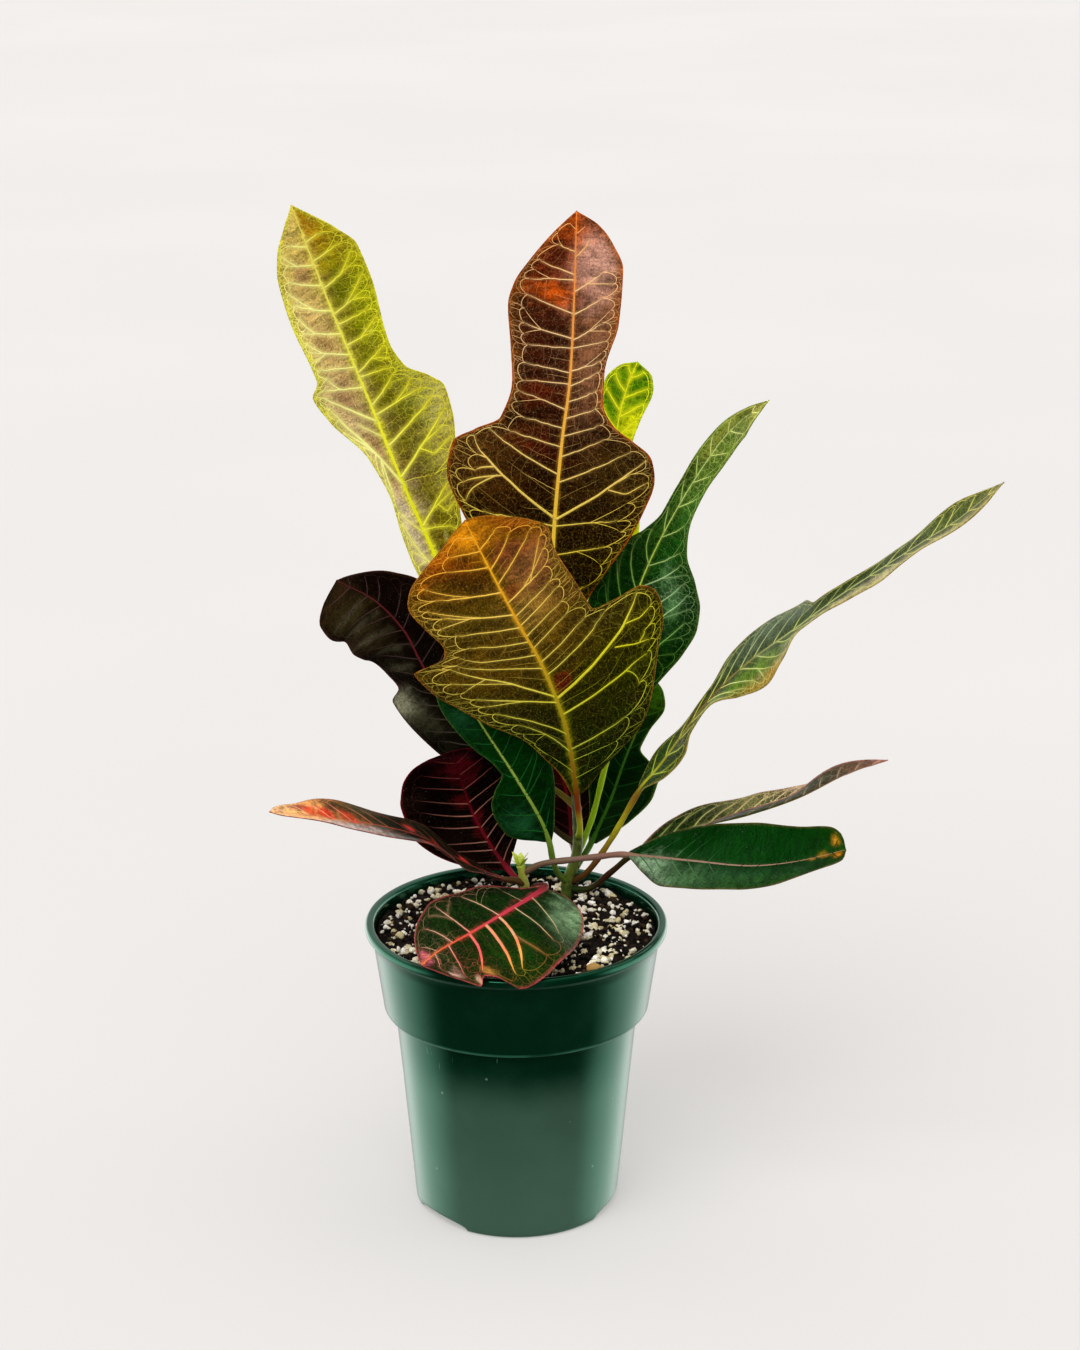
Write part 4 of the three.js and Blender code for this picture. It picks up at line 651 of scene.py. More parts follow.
class Leaf:
    """One leaf's form. u is the share of the blade's length, and f the share of its half
    width, below 0 on the left."""

    def __init__(self, form):
        self.form = form
        self.facing = rows(form["facing"])
        self.edges = {side: rows(form[side]) for side in SIDES}
        stalk = rows(form["stalk"])
        self.spine = Spine(stalk + rows(form["midrib"]))
        share = len(stalk) / self.spine.spans
        self.start = self.spine.lengths[round(SPINE_DIVISIONS * share)]
        self.length = self.spine.total - self.start

    def width(self, u, f):
        """The half width in millimetres at u, on the side of f."""
        left, right = (monotone(self.edges[side], u * 100) for side in SIDES)
        return np.maximum(np.where(f < 0, left, right), LEAST_WIDTH)

    def side_width(self, u, sign):
        return self.width(np.array([u]), np.array([sign]))[0]

    def sheet(self, u, f):
        """Millimetres along the spine and aside from it, as if the leaf were flat."""
        reach = np.abs(f) * self.width(u, f)
        lean = np.radians(along(self.form["sweep"], u))
        distance = self.start + self.length * u + reach * np.sin(lean)
        return distance, np.sign(f) * reach * np.cos(lean)

    def axes(self, distance):
        """Centre, normal and crossways direction at distances along the spine, and u."""
        centre, tangent = self.spine.frame(distance)
        u = np.clip((distance - self.start) / self.length, 0, 1)
        facing = along(self.facing, u)
        normal = unit(facing - tangent * np.sum(facing * tangent, axis=1)[:, None])
        return centre, normal, np.cross(tangent, normal), u

    def place(self, u, f, lift):
        """The points of the leaf at u and f, lifted off the middle of its thickness."""
        half = self.width(u, f)
        distance, aside = self.sheet(u, f)
        centre, normal, across, at = self.axes(distance)
        left = f < 0
        folds = (along(self.form["fold"][side], at) for side in SIDES)
        start = np.radians(np.where(left, *folds))
        reach = np.abs(aside)
        end = start + BLADE_CURL * reach
        out = (np.sin(end) - np.sin(start)) / BLADE_CURL
        up = (np.cos(start) - np.cos(end)) / BLADE_CURL
        wave = self.form["wave"] * np.minimum(half / FULL_WAVE_WIDTH, 1) * (reach / half) ** 2
        phase = np.where(left, WAVE_PHASE["left"], WAVE_PHASE["right"])
        wave = wave * np.sin(TURN * self.form["waves"] * at + phase)
        lift = lift + self.swell(distance, aside)
        crossways = np.sign(f) * (out - lift * np.sin(end))
        height = up + wave + lift * np.cos(end)
        return centre + across * crossways[:, None] + normal * height[:, None]

    def swell(self, x, y):
        """Small hollows and swells of the whole blade, away from the midrib."""
        swell = np.sin(x / 6.1 + 1.7 * np.sin(y / 8.3)) * np.cos(y / 5.2 + 0.9 * np.sin(x / 9.7))
        return RELIEF * swell * smoothstep(*SMOOTH_BY_RIB, np.abs(y))


def linear(code):
    """A colour like "#rrggbb" as linear red, green and blue."""
    value = np.array([int(code[i : i + 2], 16) for i in (1, 3, 5)]) / 255
    return np.where(value <= 0.04045, value / 12.92, ((value + 0.055) / 1.055) ** 2.4)


def ramp(codes, t):
    return along([linear(code) for code in codes.split()], t)


def blend(base, code, amount):
    return base + (linear(code) - base) * amount[:, None]


def lattice_noise(x, y, scale, seed):
    """Smooth random heights from -1 to 1 over the plane, with bumps about scale wide."""
    size, middle = 64, 300
    values = np.random.default_rng(seed).uniform(-1, 1, (size, size))
    x, y = x / scale + middle, y / scale + middle
    i, k = np.floor(x).astype(int), np.floor(y).astype(int)
    u, v = smoothstep(0, 1, x - i), smoothstep(0, 1, y - k)
    a, b, c, d = (values[(i + di) % size, (k + dk) % size] for dk in (0, 1) for di in (0, 1))
    return (a * (1 - u) + b * u) * (1 - v) + (c * (1 - u) + d * u) * v


def paint(codes, patches, u, f):
    """A run of colours along the blade with blotchy patches over it."""
    result = ramp(codes, u)
    blotch = 0.5 * lattice_noise(u * 30, f * 6, 1, 5) + 0.3 * lattice_noise(u * 90, f * 18, 1, 6)
    for at, side, length, width, code, amount, *crisp in rows(patches):
        away = ((u * 100 - at) / length) ** 2 + ((f - side) / width) ** 2
        power = crisp[0] if crisp else PATCH_POWER
        result = blend(result, code, amount * np.exp(-((away * (1 + blotch)) ** power)))
    return result


def place_object(name, data):
    placed = bpy.data.objects.new(name, data)
    bpy.context.scene.collection.objects.link(placed)
    return placed


class Shape:
    """Gathers closed bodies and their point attributes, and makes one mesh of them."""

    def __init__(self):
        self.points, self.faces, self.values, self.count = [], [], {}, 0

    def add(self, points, faces, **values):
        """faces is a list of arrays of point numbers. Faces are turned to look outwards."""
        volume = 0
        for group in faces:
            for k in range(1, group.shape[1] - 1):
                cross = np.cross(points[group[:, k]], points[group[:, k + 1]])
                volume += np.sum(points[group[:, 0]] * cross)
        for group in faces:
            self.faces.append((group if volume > 0 else group[:, ::-1]) + self.count)
        self.points.append(points)
        for name, value in values.items():
            self.values.setdefault(name, []).append(np.broadcast_to(value, (len(points), 3)))
        self.count += len(points)

    def build(self, name, material, slot, node=None):
        """The piece of this name, which stands in for the node where one is given."""
        mesh = bpy.data.meshes.new(name)
        mesh.vertices.add(self.count)
        points = np.concatenate(self.points) * MM
        mesh.vertices.foreach_set("co", points.astype(np.float32).ravel())
        corners = np.concatenate([group.ravel() for group in self.faces])
        sizes = np.concatenate([np.full(len(group), group.shape[1]) for group in self.faces])
        mesh.loops.add(len(corners))
        mesh.loops.foreach_set("vertex_index", corners.astype(np.int32))
        mesh.polygons.add(len(sizes))
        starts = np.concatenate([[0], np.cumsum(sizes)[:-1]])
        mesh.polygons.foreach_set("loop_start", starts.astype(np.int32))
        mesh.update(calc_edges=True)
        mesh.shade_smooth()
        for key, values in self.values.items():
            values = np.concatenate(values)
            kind, field = "FLOAT_VECTOR", "vector"
            if key in ("Tint", "Vein"):
                kind, field = "FLOAT_COLOR", "color"
                values = np.hstack([values, np.ones((len(values), 1))])
            layer = mesh.attributes.new(key, kind, "POINT")
            layer.data.foreach_set(field, values.astype(np.float32).ravel())
        mesh.validate()
        mesh.materials.append(material)
        piece = place_object(name, mesh)
        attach(piece, "root")
        if node:
            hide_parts(node)


def rings_to_faces(rings, sides, first=0):
    """The faces of a body from rings of points: its wall, and then its two ends. first is
    the number of its first point."""
    grid = first + np.arange(rings * sides).reshape(rings, sides)
    following = np.roll(grid, -1, axis=1)
    walls = np.stack([grid[:-1], following[:-1], following[1:], grid[1:]], -1).reshape(-1, 4)
    return [walls, grid[:1, ::-1], grid[-1:]]


def around(sides, line_at):
    """A body's points, ring by ring, from line_at, which gives its line at an angle."""
    lines = [line_at(TURN * k / sides) for k in range(sides)]
    return np.stack(lines, 1).reshape(-1, 3)


# Materials


class Nodes:
    """Short calls for building the nodes of a material or of the world."""

    def __init__(self, owner):
        owner.use_nodes = True
        self.owner, self.tree = owner, owner.node_tree

    def link(self, value, socket):
        if isinstance(value, bpy.types.NodeSocket):
            self.tree.links.new(value, socket)
        elif isinstance(value, str):
            socket.default_value = (*linear(value), 1)
        else:
            socket.default_value = value

    def node(self, kind, output, settings=None, **inputs):
        """A new node's output. Inputs go by name, or by number as _0, _1 and so on."""
        node = self.tree.nodes.new("ShaderNode" + kind)
        for key, value in (settings or {}).items():
            setattr(node, key, value)
        for key, value in inputs.items():
            self.link(value, node.inputs[int(key[1:]) if key[1:].isdigit() else key])
        return node.outputs[output]

    def place(self):
        return self.node("TexCoord", "Object")

    def attribute(self, name, output="Color"):
        return self.node("Attribute", output, {"attribute_name": name})

    def math(self, operation, a, b=0.0):
        return self.node("Math", 0, {"operation": operation}, _0=a, _1=b)

    def times(self, a, b):
        return self.math("MULTIPLY", a, b)

    def plus(self, a, b):
        return self.math("ADD", a, b)

    def vector(self, operation, a, b):
        return self.node("VectorMath", 0, {"operation": operation}, _0=a, _1=b)

    def stretch(self, a, factors):
        return self.vector("MULTIPLY", a, factors)

    def separate(self, value):
        node = self.tree.nodes.new("ShaderNodeSeparateXYZ")
        self.link(value, node.inputs[0])
        return node.outputs

    def mix(self, amount, a, b, kind="MIX"):
        settings = {"data_type": "RGBA", "blend_type": kind}
        return self.node("Mix", 2, settings, _0=amount, _6=a, _7=b)

    def noise(self, vector, scale, detail=2.0, rough=0.5, output=0):
        return self.node("TexNoise", output, Vector=vector, Scale=scale, Detail=detail,
                         Roughness=rough)

    def voronoi(self, vector, scale, **settings):
        return self.node("TexVoronoi", 0, settings, Vector=vector, Scale=scale)

    def step(self, value, low, high, to_low=0.0, to_high=1.0):
        """A smooth step from to_low at low to to_high at high."""
        settings = {"interpolation_type": "SMOOTHSTEP"}
        return self.node("MapRange", 0, settings, _0=value, _1=low, _2=high, _3=to_low,
                         _4=to_high)

    def finish(self, color, rough, bump=None, **fixed):
        """The material with its colour, roughness, bump (height, distance, strength) and
        values that are the same all over."""
        shader = self.tree.nodes["Principled BSDF"].inputs
        self.link(color, shader["Base Color"])
        self.link(rough, shader["Roughness"])
        if bump:
            height, distance, strength = bump
            self.link(self.node("Bump", 0, Height=height, Distance=distance,
                                Strength=strength), shader["Normal"])
        for name, value in fixed.items():
            shader[name.replace("_", " ")].default_value = value
        return self.owner

    def grainy(self, color, layers, bump, rough, gloss):
        """A rough material: a colour, and over it layers of (texture, low, high, amount at
        low, amount at high, colour). The first one's texture varies the roughness too."""
        for texture, low, high, to_low, to_high, code in layers:
            color = self.mix(self.step(texture, low, high, to_low, to_high), color, code)
        rough = self.step(layers[0][0], 0.3, 0.7, *rough)
        return self.finish(color, rough, bump, Specular_IOR_Level=gloss)


def new_nodes(name):
    return Nodes(bpy.data.materials.new(name))


def leaf_material(name, look):
    n = new_nodes(name)
    sheet, marks = n.attribute("Sheet", "Vector"), n.attribute("Marks", "Vector")
    near, ridge, net = n.separate(marks)
    tint, vein = n.attribute("Tint"), n.attribute("Vein")
    mottle, amount = look["mottle"]

    # The finest veins are the edges of cells in a bent sheet, some wide and some fine.
    warp = n.noise(sheet, 0.2, output=1)
    warp = n.stretch(n.vector("SUBTRACT", warp, (0.5, 0.5, 0.5)), (6, 6, 0))
    bent = n.vector("ADD", sheet, warp)

    def cells(size, line, soft):
        edge = n.voronoi(bent, 1 / size, feature="DISTANCE_TO_EDGE", voronoi_dimensions="2D")
        return n.step(n.times(edge, size), line, soft, 1, 0)

    fine = n.times(cells(1.9, 0.04, 0.2), 0.4)
    mesh = n.times(n.math("MAXIMUM", cells(5.2, 0.08, 0.3), fine), net)

    cloud = n.noise(bent, 0.085, 4, 0.62)
    streak = n.noise(n.stretch(bent, (0.42, 0.07, 0)), 1)
    grain = n.noise(sheet, 0.9, 3, 0.7)
    body = n.mix(n.step(cloud, 0.42, 0.66, 0, amount), tint, mottle)
    body = n.mix(n.step(grain, 0.55, 0.72, 0, look["speck"]), body, vein)
    body = n.mix(n.step(grain, 0.34, 0.46, 0.3, 0), body, mottle)
    shade = n.plus(n.step(streak, 0.3, 0.7, 0.68, 1.26), n.step(grain, 0.3, 0.7, -0.24, 0.24))
    shade = n.node("CombineXYZ", 0, _0=shade, _1=shade, _2=shade)
    body = n.mix(mesh, n.mix(1, body, shade, "MULTIPLY"), vein)
    width, glow = look["glow"][0]
    spread = n.math("POWER", n.math("DIVIDE", near, width), 2)
    body = n.mix(n.times(n.math("EXPONENT", n.times(spread, -1)), glow), body, vein)
    # Small pale flecks over the cloudier parts, partly painted glints and partly dust specks.
    fleck = n.step(n.noise(sheet, 1.7, 1), 0.7, 0.76, 0, look["flecks"])
    body = n.mix(n.times(fleck, n.step(cloud, 0.45, 0.6)), body, "#c9cfae")
    color = n.mix(ridge, body, n.mix(n.step(grain, 0.4, 0.7, 0, 0.12), tint, mottle))

    rough = n.plus(n.step(cloud, 0.3, 0.7, -0.04, 0.07), look["rough"])
    height = n.plus(n.plus(n.times(mesh, -0.5), n.times(grain, 0.35)), n.times(streak, 0.6))
    tone = linear(look["tissue"].split()[3])
    shine = (*(0.25 + 0.75 * tone / tone.max()), 1)
    return n.finish(color, rough, (height, 0.0004, 0.85), Specular_Tint=shine,
                    Specular_IOR_Level=look["gloss"])


# Leaves


def curve_between(start, end, control, steps, lean, tilt=0.0):
    """A rounded arch from one vein's end to the next one's, out to control."""
    t = np.linspace(0, 1, steps)[:, None]
    start, end = np.array(start), np.array(end)
    gap = end[0] - start[0]
    first = np.array([start[0] + lean[0] * gap, control + tilt])
    last = np.array([end[0] - lean[1] * gap, control - tilt])
    return (
        start * (1 - t) ** 3 + 3 * first * t * (1 - t) ** 2 + 3 * last * t**2 * (1 - t) + end * t**3
    )


def feet_of(table, random):
    """The side veins as (foot, end, reach, width), from the tip down, in shares."""
    if len(table[0]) > 1:
        return [(foot / 100, end / 100, reach / 100, width) for foot, end, reach, width in table]
    count = int(table[0][0])
    fan = np.array(table[1:])
    feet = np.linspace(fan[-1, 0], fan[0, 0], count)
    feet[1:-1] += random.uniform(-0.18, 0.18, count - 2) * (feet[1] - feet[0])
    ends = np.interp(feet, *fan.T)
    reach = random.uniform(0.68, 0.82, count)
    widths = random.uniform(0.7, 0.95, count) * (1.25 - 0.4 * feet / 100)
    return list(zip(feet / 100, ends / 100, reach, widths))


def vein_lines(leaf, look, random):
    """Every vein as (u, f, width at its start and end, rise, strength, drawn below too)."""
    lines = []

    def add(kind, route, width=1, below=False):
        u, f = np.array(route, float).T
        x, y = leaf.sheet(u, f * sign)
        run = np.concatenate([[0], np.cumsum(np.hypot(np.diff(x), np.diff(y)))])
        if run[-1] < SHORTEST_VEIN:
            return
        at = np.linspace(0, run[-1], max(3, int(run[-1] / VEIN_STEP) + 2))
        u, f = np.interp(at, run, u), np.interp(at, run, f)
        room = 1 - VEIN_TO_EDGE / leaf.width(u, f * sign)
        f = np.clip(f, VEIN_TO_RIB, np.maximum(room, 0.05)) * sign
        start, end, rise, strength = VEIN_KINDS[kind]
        if kind not in BOLD_KINDS:
            strength *= look["faint"]
        lines.append((u, f, start * width, end * width, rise, strength, below))

    def main_veins():
        """The side veins that others join, as (end, reach, route, foot, width), tip first."""
        main = []
        t = np.linspace(0, 1, ROUTE_STEPS)
        for foot, end, reach, width in feet_of(rows(look["veins_" + side]), random):
            sway = random.normal(0, SWAY, ROUTE_STEPS) * t
            u = foot + (end - foot) * (0.72 * t + 0.28 * t * t) + sway
            route = np.stack([u, reach * t], 1)
            bold = width > THIN_VEIN
            add("main" if bold else "thin", route, width, bold)
            if reach > SHORT_REACH:
                main.append((end, reach, route, foot, width))
        for fork_side, table, width in look["forks"]:
            if fork_side == side:
                route = along(np.array(rows(table)) / 100, t)
                add("fork", route, width, True)
                main.append((*route[-1], route, route[0, 0], width))
        return sorted(main, key=lambda vein: -vein[0])

    def with_extras(main):
        """The main veins with shorter ones between them where the blade is wide."""
        ends = []
        for upper, lower in zip(main, main[1:]):
            ends.append(upper)
            gap = upper[0] - lower[0]
            half = leaf.side_width((upper[0] + lower[0]) / 2, sign)
            extra = int(gap * leaf.length / EXTRA_VEIN_GAP) if half > NARROW_HALF else 0
            parent = lower if lower[4] >= upper[4] else upper
            for k in range(extra):
                share = (k + 1) / (extra + 1)
                start = parent[2][int(random.uniform(5, 8.5))]
                end = np.array([upper[0] - gap * share, random.uniform(0.74, 0.86)])
                bend = start * 0.45 + end * 0.55 + (0, random.uniform(0.02, 0.07))
                t = np.linspace(0, 1, ROUTE_STEPS)[:, None]
                route = start * (1 - t) ** 2 + 2 * bend * t * (1 - t) + end * t**2
                width = 0.62 * parent[4]
                add("extra", route, width, width > THIN_VEIN)
                ends.append((*end, route, None, width))
        return ends + main[-1:]

    def join(upper, lower):
        """The arch between two veins' ends, and the finer veins round and under it."""
        (a, reach_a, route_a, foot_a, _), (b, reach_b, route_b, foot_b, _) = upper, lower
        out = min(max(reach_a, reach_b) + random.uniform(0.07, 0.17), 0.95)
        lean, tilt = random.uniform(-0.1, 0.32, 2), random.uniform(-0.05, 0.05)
        arch = curve_between((a, reach_a), (b, reach_b), out, 13, lean, tilt)
        add("arch", arch)
        middle = arch[random.integers(4, 9)]
        add("outlet", [middle, (middle[0], 0.985)])
        if leaf.side_width(middle[0], sign) > NARROW_HALF:
            for tip, reach in ((a, reach_a), (b, reach_b)):
                spur_u = tip + random.uniform(-0.004, 0.006)
                spur = (spur_u, min(reach + random.uniform(0.1, 0.17), 0.95))
                if tip == a:
                    add("spur", [(tip, reach), spur])
                lean = random.uniform(-0.05, 0.25, 2)
                add("ring", curve_between(spur, (middle[0], 0.96), 0.975, 7, lean))
        if foot_a is None or foot_b is None:
            return
        step = random.uniform(0.4, 0.6)
        length = random.uniform(0.3, 0.62) * min(reach_a, reach_b)
        t = np.linspace(0, 1, 8)
        foot, end = foot_a + (foot_b - foot_a) * step, a + (b - a) * step
        u = foot + (end - foot) * t * length + random.normal(0, SWAY, 8) * t
        add("inner", np.stack([u, t * length], 1))
        for _ in range(3):
            i = random.integers(3, 11)
            p, q = route_a[i], route_b[min(max(i + random.integers(-1, 2), 2), 11)]
            bend = (p + q) / 2 + random.normal(0, 1, 2) * (0.002, 0.02)
            add("tie", [p, bend, q])

    for side, sign in SIDES.items():
        ends = with_extras(main_veins())
        for upper, lower in zip(ends, ends[1:]):
            join(upper, lower)
    return lines


def add_veins(shape, leaf, look, lines, number, below):
    """The veins as low rounded ridges, on the upper face or the lower."""
    kept = [line for line in lines if line[6] or not below]
    cells = []
    for u, f, start, end, rise, strength, _ in kept:
        x, y = leaf.sheet(u, f)
        direction = unit(np.stack([np.gradient(x), np.gradient(y)], 1) + 1e-9)
        t = np.linspace(0, 1, len(u))
        taper = np.minimum(1, 0.25 + 3 * (1 - t))
        size = (start + (end - start) * t) * taper
        cells.append([u, f, *direction.T, size, rise * taper, np.full(len(u), strength)])
    u, f, along_x, along_y, size, rise, strength = np.concatenate(cells, axis=1)

    # How u and f change across each vein, from the sheet's slopes.
    small = 1e-3
    sign = np.sign(f)
    at_u = np.clip(u, small, 1 - small)
    at_f = sign * np.clip(np.abs(f), 2 * small, 1 - 2 * small)

    def slopes(du, df):
        ahead, behind = leaf.sheet(at_u + du, at_f + df), leaf.sheet(at_u - du, at_f - df)
        return [(a - b) / (2 * small) for a, b in zip(ahead, behind)]

    (xu, yu), (xf, yf) = slopes(small, 0), slopes(0, small)
    area = xu * yf - xf * yu
    du = (-along_y * yf - along_x * xf) / area
    df = (along_x * xu + along_y * yu) / area

    lines_of_points = []
    for aside, height in VEIN_SECTION:
        side_u = np.clip(u + du * size * aside, 0, 1)
        side_f = sign * np.clip(np.abs(f + df * size * aside), 0.004, 0.995)
        height = BLADE_HALF + (height * rise if height > 0 else height)
        lines_of_points.append(leaf.place(side_u, side_f, -height if below else height))
    sides = len(VEIN_SECTION)
    faces = [[], [], []]
    first = 0
    for line in kept:
        for store, group in zip(faces, rings_to_faces(len(line[0]), sides, first)):
            store.append(group)
        first += len(line[0]) * sides
    tissue, vein = leaf_colours(look, u, f, below)
    colour = np.minimum((tissue + (vein - tissue) * strength[:, None]) * VEIN_GAIN, 1)
    shape.add(np.stack(lines_of_points, 1).reshape(-1, 3), [np.concatenate(g) for g in faces],
              **ridge_values(colour, *leaf.sheet(u, f), number, sides))


def ridge_values(colour, x, y, number, sides):
    """The point attributes of a vein or midrib, which has its own colour all round."""
    sheet = np.stack([x, y, np.full(len(x), number * SHEET_SPACING)], 1)
    colour = np.repeat(colour, sides, axis=0)
    return dict(Tint=colour, Vein=colour, Marks=(9, 1, 0), Sheet=np.repeat(sheet, sides, axis=0))


def leaf_colours(look, u, f, below):
    """The tissue's and the veins' colours at u and f."""
    tissue = paint(look["tissue"], look["patches"], u, f)
    vein = paint(look["vein"], look["vein_patches"], u, f)
    if below:
        under = ramp(look["under"], u)
        share = look["under_share"]
        tissue = tissue * (1 - share) + under * share
        vein = vein * VEIN_BELOW + under * (1 - VEIN_BELOW)
    return tissue, vein


def blade_rows(leaf, u):
    """f and the depth from the middle of the thickness for each point of the rows."""
    widest = sum(max(width for _, width in leaf.edges[side]) for side in SIDES)
    share = np.linspace(-1, 1, int(widest / CELL / 2) * 2 + 1)
    halves = []
    for sign in SIDES.values():
        width = leaf.width(u, np.full(len(u), sign))[:, None]
        inner = np.maximum(width - EDGE, 0.4 * width)
        part = np.abs(share[share * sign > 0])
        outer = width - np.array(EDGE_INSETS) * EDGE
        reach = np.hstack([part * inner, np.maximum(outer, inner)])
        depth = np.tile([1] * len(part) + list(EDGE_DEPTHS), (len(u), 1))
        order = np.argsort(reach, axis=1, kind="stable")[:, :: int(sign)]
        reach, depth = (np.take_along_axis(values, order, 1) for values in (reach, depth))
        halves.append((sign * reach / width, depth))
    (left, left_depth), (right, right_depth) = halves
    centre = np.zeros((len(u), 1))
    return np.hstack([left, centre, right]), np.hstack([left_depth, centre + 1, right_depth])


def add_blade(shape, leaf, look, lines, number):
    """The blade: rows of points across both faces, with a rounded edge."""
    u = np.linspace(0, 1, int(leaf.length / CELL))
    u = np.concatenate([u[:-1], 1 - (1 - u[-2]) * np.array(TIP_ROWS)])
    f, depth = blade_rows(leaf, u)
    wide = f.shape[1]
    u, f, lift = np.repeat(u, wide), f.ravel(), depth.ravel() * BLADE_HALF

    def both_faces(up, down):
        """Values of the upper face and then, backwards, of the lower one, row by row."""
        up, down = (values.reshape(-1, wide, 3) for values in (up, down))
        return np.concatenate([up, down[:, ::-1]], axis=1).reshape(-1, 3)

    x, y = leaf.sheet(u, f)
    strong = [line for line in lines if line[2] > THIN_VEIN]
    spots = leaf.sheet(*(np.concatenate([line[k] for line in strong]) for k in (0, 1)))
    tree = KDTree(len(spots[0]))
    for i, spot in enumerate(zip(*spots)):
        tree.insert((*spot, 0), i)
    tree.balance()
    near = np.array([tree.find((*spot, 0))[2] for spot in zip(x, y)])
    edge = (1 - np.abs(f)) * leaf.width(u, f)
    net = look["net"] * (0.4 + 0.6 * smoothstep(0.55, 0.9, np.abs(f)))
    for at, side, length, spread, amount in rows(look["net_patches"]):
        away = ((u * 100 - at) / length) ** 2 + ((f - side) / spread) ** 2
        net = net + amount * np.exp(-away)
    ragged = lattice_noise(x, y + 400 * number, 4, 9) + 0.8 * lattice_noise(x, y, 1.8, 10)
    band, glow = look["glow"][1]
    band = band * (1 + look["ragged"] * ragged) * (1.15 - 0.7 * u)
    middle = glow * np.exp(-((y / band) ** 2))[:, None]
    beside = ramp(look.get("beside", look["rib"]), u)
    rim, rim_width = look["rim"]
    faces = []
    for below in (False, True):
        tissue, vein = leaf_colours(look, u, f, below)
        tissue = tissue + (beside - tissue) * middle
        tissue = blend(tissue, rim, RIM_STRENGTH * np.exp(-((edge / rim_width) ** 2)))
        marks = np.stack([near, np.zeros(len(x)), net * (0.6 if below else 1)], 1)
        layer = (number + below / 2) * SHEET_SPACING
        sheet = np.stack([x, y, np.full(len(x), layer)], 1)
        faces.append(dict(Tint=tissue, Vein=vein, Marks=marks, Sheet=sheet))
    values = {key: both_faces(*(face[key] for face in faces)) for key in faces[0]}

    points = both_faces(leaf.place(u, f, lift), leaf.place(u, f, -lift))
    walls, *_ = rings_to_faces(len(points) // (2 * wide), 2 * wide)
    ends = []
    for first in (0, len(points) - 2 * wide):
        top, bottom = first + np.arange(wide), first + np.arange(2 * wide)[:wide - 1:-1]
        cap = np.stack([top[:-1], top[1:], bottom[1:], bottom[:-1]], -1)
        ends.append(cap if first else cap[:, ::-1])
    shape.add(points, [np.concatenate([walls, *ends])], **values)


def add_rib(shape, leaf, look, number):
    """The stalk, which runs on as the midrib: round below the blade and low above it."""
    steps = int(leaf.spine.total / RIB_STEP)
    distance = np.linspace(0, leaf.spine.total - RIB_END, steps)
    centre, normal, across, u = leaf.axes(distance)
    radius = RIB_RADIUS + (RIB_RADIUS_AT_TIP - RIB_RADIUS) * u
    knobs = STALK_KNOBS * np.sin(distance / 3.1) * (u == 0)
    radius = radius + FOOT_SWELL * np.exp(-distance / FOOT_LENGTH) + knobs
    on_blade = smoothstep(leaf.start + FLAT_FROM, leaf.start + FLAT_TO, distance)
    low = np.minimum(radius, BLADE_HALF + RIB_RISE * (1.3 - u))
    top = radius + (low - radius) * on_blade

    def line_at(angle):
        rise = math.sin(angle)
        height = (top if rise > 0 else radius) * rise
        width = radius * math.cos(angle) * (1 + look["rib_wide"] * on_blade)
        return centre + across * width[:, None] + normal * height[:, None]

    stalk, rib = ramp(look["stalk"], distance / leaf.start), ramp(look["rib"], u)
    colour = stalk + (rib - stalk) * on_blade[:, None]
    shape.add(around(RIB_SIDES, line_at), rings_to_faces(steps, RIB_SIDES),
              **ridge_values(colour, distance, np.zeros(steps), number, RIB_SIDES))


def make_leaves():
    for number, (name, form) in enumerate(LEAVES.items()):
        leaf, look, shape = Leaf(form), {**USUAL_LOOK, **LOOKS[name]}, Shape()
        lines = vein_lines(leaf, look, np.random.default_rng(100 + number))
        add_blade(shape, leaf, look, lines, number)
        add_rib(shape, leaf, look, number)
        for below in (False, True):
            add_veins(shape, leaf, look, lines, number, below)
        shape.build(f"{name}_blade", leaf_material(f"{name}_skin", look), look["slot"], name)


# Pot and soil

# The pot's outer wall from the middle of the base up to the lip, then its inner wall down
# to the floor: radius and height. The first rings are the outer wall's.
POT_SIDES = 240
POT_PROFILE = rows("""0 .6, 30 .6, 46 .4, 49.6 0, 50.4 0, 52.5 0, 54.4 .15, 55.6 .7, 56.3 1.6,
    56.6 3, 56.8 5.5, 58.8 28, 60.9 52, 63 76, 65.1 98, 66.6 113, 66.9 115.2, 67.6 115.9,
    69.6 116, 71.4 116.1, 72.4 116.6, 72.9 117.6, 73.1 119.2, 74.5 129, 76.2 141, 77.9 153,
    78.7 158.2, 79.3 159.2, 80.6 159.9, 81.8 160.6, 82.35 161.4, 82.5 162.6, 82.4 163.8,
    81.9 164.7, 81.1 165, 79.4 165, 78.2 164.8, 77.5 164.2, 77.1 162.8, 76.6 158, 74.2 140,
    71.6 121, 71 119, 66.2 116.6, 65.2 113, 60.2 60, 55.4 10, 54 7.4, 0 7""")
OUTER_RINGS = 20
LEAST_RADIUS = 0.5

# The three arches of the foot. The wall below ARCH_SQUEEZE moves up with them.
FIRST_ARCH = -19
ARCH_HALF = 20
ARCH_HEIGHT = 4
ARCH_SQUEEZE = 9
ARCH_INNER_RADIUS = 50
FOOT_RADIUS = 56.5

# The soil: the rings of its side from below up, and its top.
SOIL_SIDES = 200
SOIL_BELOW = [(54.2, 7.3), (65.1, 116), (70.9, 120.5), (75.3, 152)]
SOIL_RINGS = 84
SOIL_TOP_RADIUS = 75.8
SOIL_Z = 159
SOIL_RELIEF = 1.76

